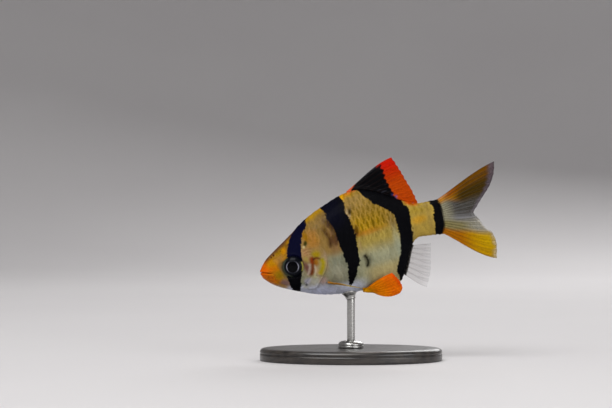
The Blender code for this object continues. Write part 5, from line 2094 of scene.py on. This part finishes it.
bend = np.linspace(0, np.pi / 2, 25)[1:]
level_r = np.linspace(0.02, SWEEP_FLAT, 12)
curve_r = SWEEP_FLAT + SWEEP_RADIUS * np.sin(bend)
sweep_r = np.concatenate([[0.0], level_r, curve_r, curve_r[-1:]])[:, None]
sweep_z = np.concatenate([np.zeros(13), SWEEP_RADIUS * (1 - np.cos(bend)), [SWEEP_TOP]])[:, None]
spin = 2 * np.pi * np.arange(SWEEP_AROUND) / SWEEP_AROUND
quads, _ = tube_faces(len(sweep_r), SWEEP_AROUND, "point", "open")
bowl = stacked(sweep_r * np.cos(spin), sweep_r * np.sin(spin), sweep_z + 0 * spin)
sweep_mesh = bpy.data.meshes.new("sweep")
sweep_faces = [list(dict.fromkeys(face)) for face in quads.tolist()]
sweep_mesh.from_pydata(bowl.reshape(-1, 3).tolist(), [], sweep_faces)
sweep_mesh.materials.append(paper_finish())
sweep_mesh.shade_smooth()
sweep = in_scene("sweep", sweep_mesh)
sweep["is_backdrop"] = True
print("the sweep is", round(2 * float(sweep_r[-1, 0]), 2), "m across")

# %% [markdown]
# ## Lamps
# Broad lamps give soft light, as a photographer's tent would: a main lamp above the camera's left,
# a weaker one at the right, one overhead, and one behind that edges the fins. A dim room fills the
# rest. Size matters more than power: a larger lamp has softer shadows.

# %% Lamps and room
LAMPS = {
    "main_lamp": ((-0.22, -0.46, 0.66), 0.5, 5.2),
    "fill_lamp": ((0.5, -0.5, 0.2), 0.5, 2.0),
    "top_lamp": ((0.0, 0.1, 0.8), 0.6, 0.8),
    "back_lamp": ((0.25, 0.6, 0.45), 0.5, 2.6),
}
LAMPS_FACE = (-0.002, 0.0, 0.03)
ROOM_COLOUR = (0.5, 0.5, 0.51, 1.0)
ROOM_LIGHT = 0.24


def lamp(name, place, size, power):
    """A square soft lamp at place, in metres, turned to face the fish."""
    light = bpy.data.lights.new(name, "AREA")
    light.size = size
    light.energy = power
    thing = in_scene(name, light)
    thing.location = place
    x, y, z = np.array(LAMPS_FACE) - np.array(place)
    thing.rotation_euler = (math.atan2(math.hypot(x, y), -z), 0, math.atan2(y, x) - math.pi / 2)


for name, (place, size, power) in LAMPS.items():
    lamp(name, place, size, power)
world = bpy.data.worlds.new("room")
world.use_nodes = True
world.node_tree.nodes["Background"].inputs["Color"].default_value = ROOM_COLOUR
world.node_tree.nodes["Background"].inputs["Strength"].default_value = ROOM_LIGHT
bpy.context.scene.world = world
bpy.context.scene.view_settings.view_transform = "Standard"
print("lamps:", ", ".join(LAMPS))

# %% [markdown]
# ## Camera
# The camera looks level at the fish's left side from half a metre away, far enough to keep the
# near fins from looking too large. The picture is 612 pixels wide and the fish shows at 3.963
# pixels to the millimetre, so its lens follows from those and its distance.

# %% Camera
PICTURE_WIDTH = 612
PIXELS_PER_MM = 3.963
SENSOR = 36.0
CAMERA_PLACE = (-18.19, -500.0, 39.5)
camera = bpy.data.cameras.new("camera")
camera.sensor_width = SENSOR
camera.lens = SENSOR * -CAMERA_PLACE[1] * PIXELS_PER_MM / PICTURE_WIDTH
camera.clip_start = 0.01
camera.clip_end = 20.0
eye_point = in_scene("camera", camera)
eye_point.location = [c * MM for c in CAMERA_PLACE]
eye_point.rotation_euler = (math.pi / 2, 0, 0)
bpy.context.scene.camera = eye_point
print("lens:", round(camera.lens, 1), "mm")

# %% [markdown]
# ## Sizes of the solids and of the dressed fish
# The dressed fish has to stay in the box of its solids, so both boxes are printed together.

# %% Sizes and last line
boxes = {
    "solids": [list(corner) for corner in cad_box],
    "dressed": [list(corner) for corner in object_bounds()],
}
for label, (low, high) in boxes.items():
    print(label, [round((b - a) / MM, 2) for a, b in zip(low, high)], "mm")
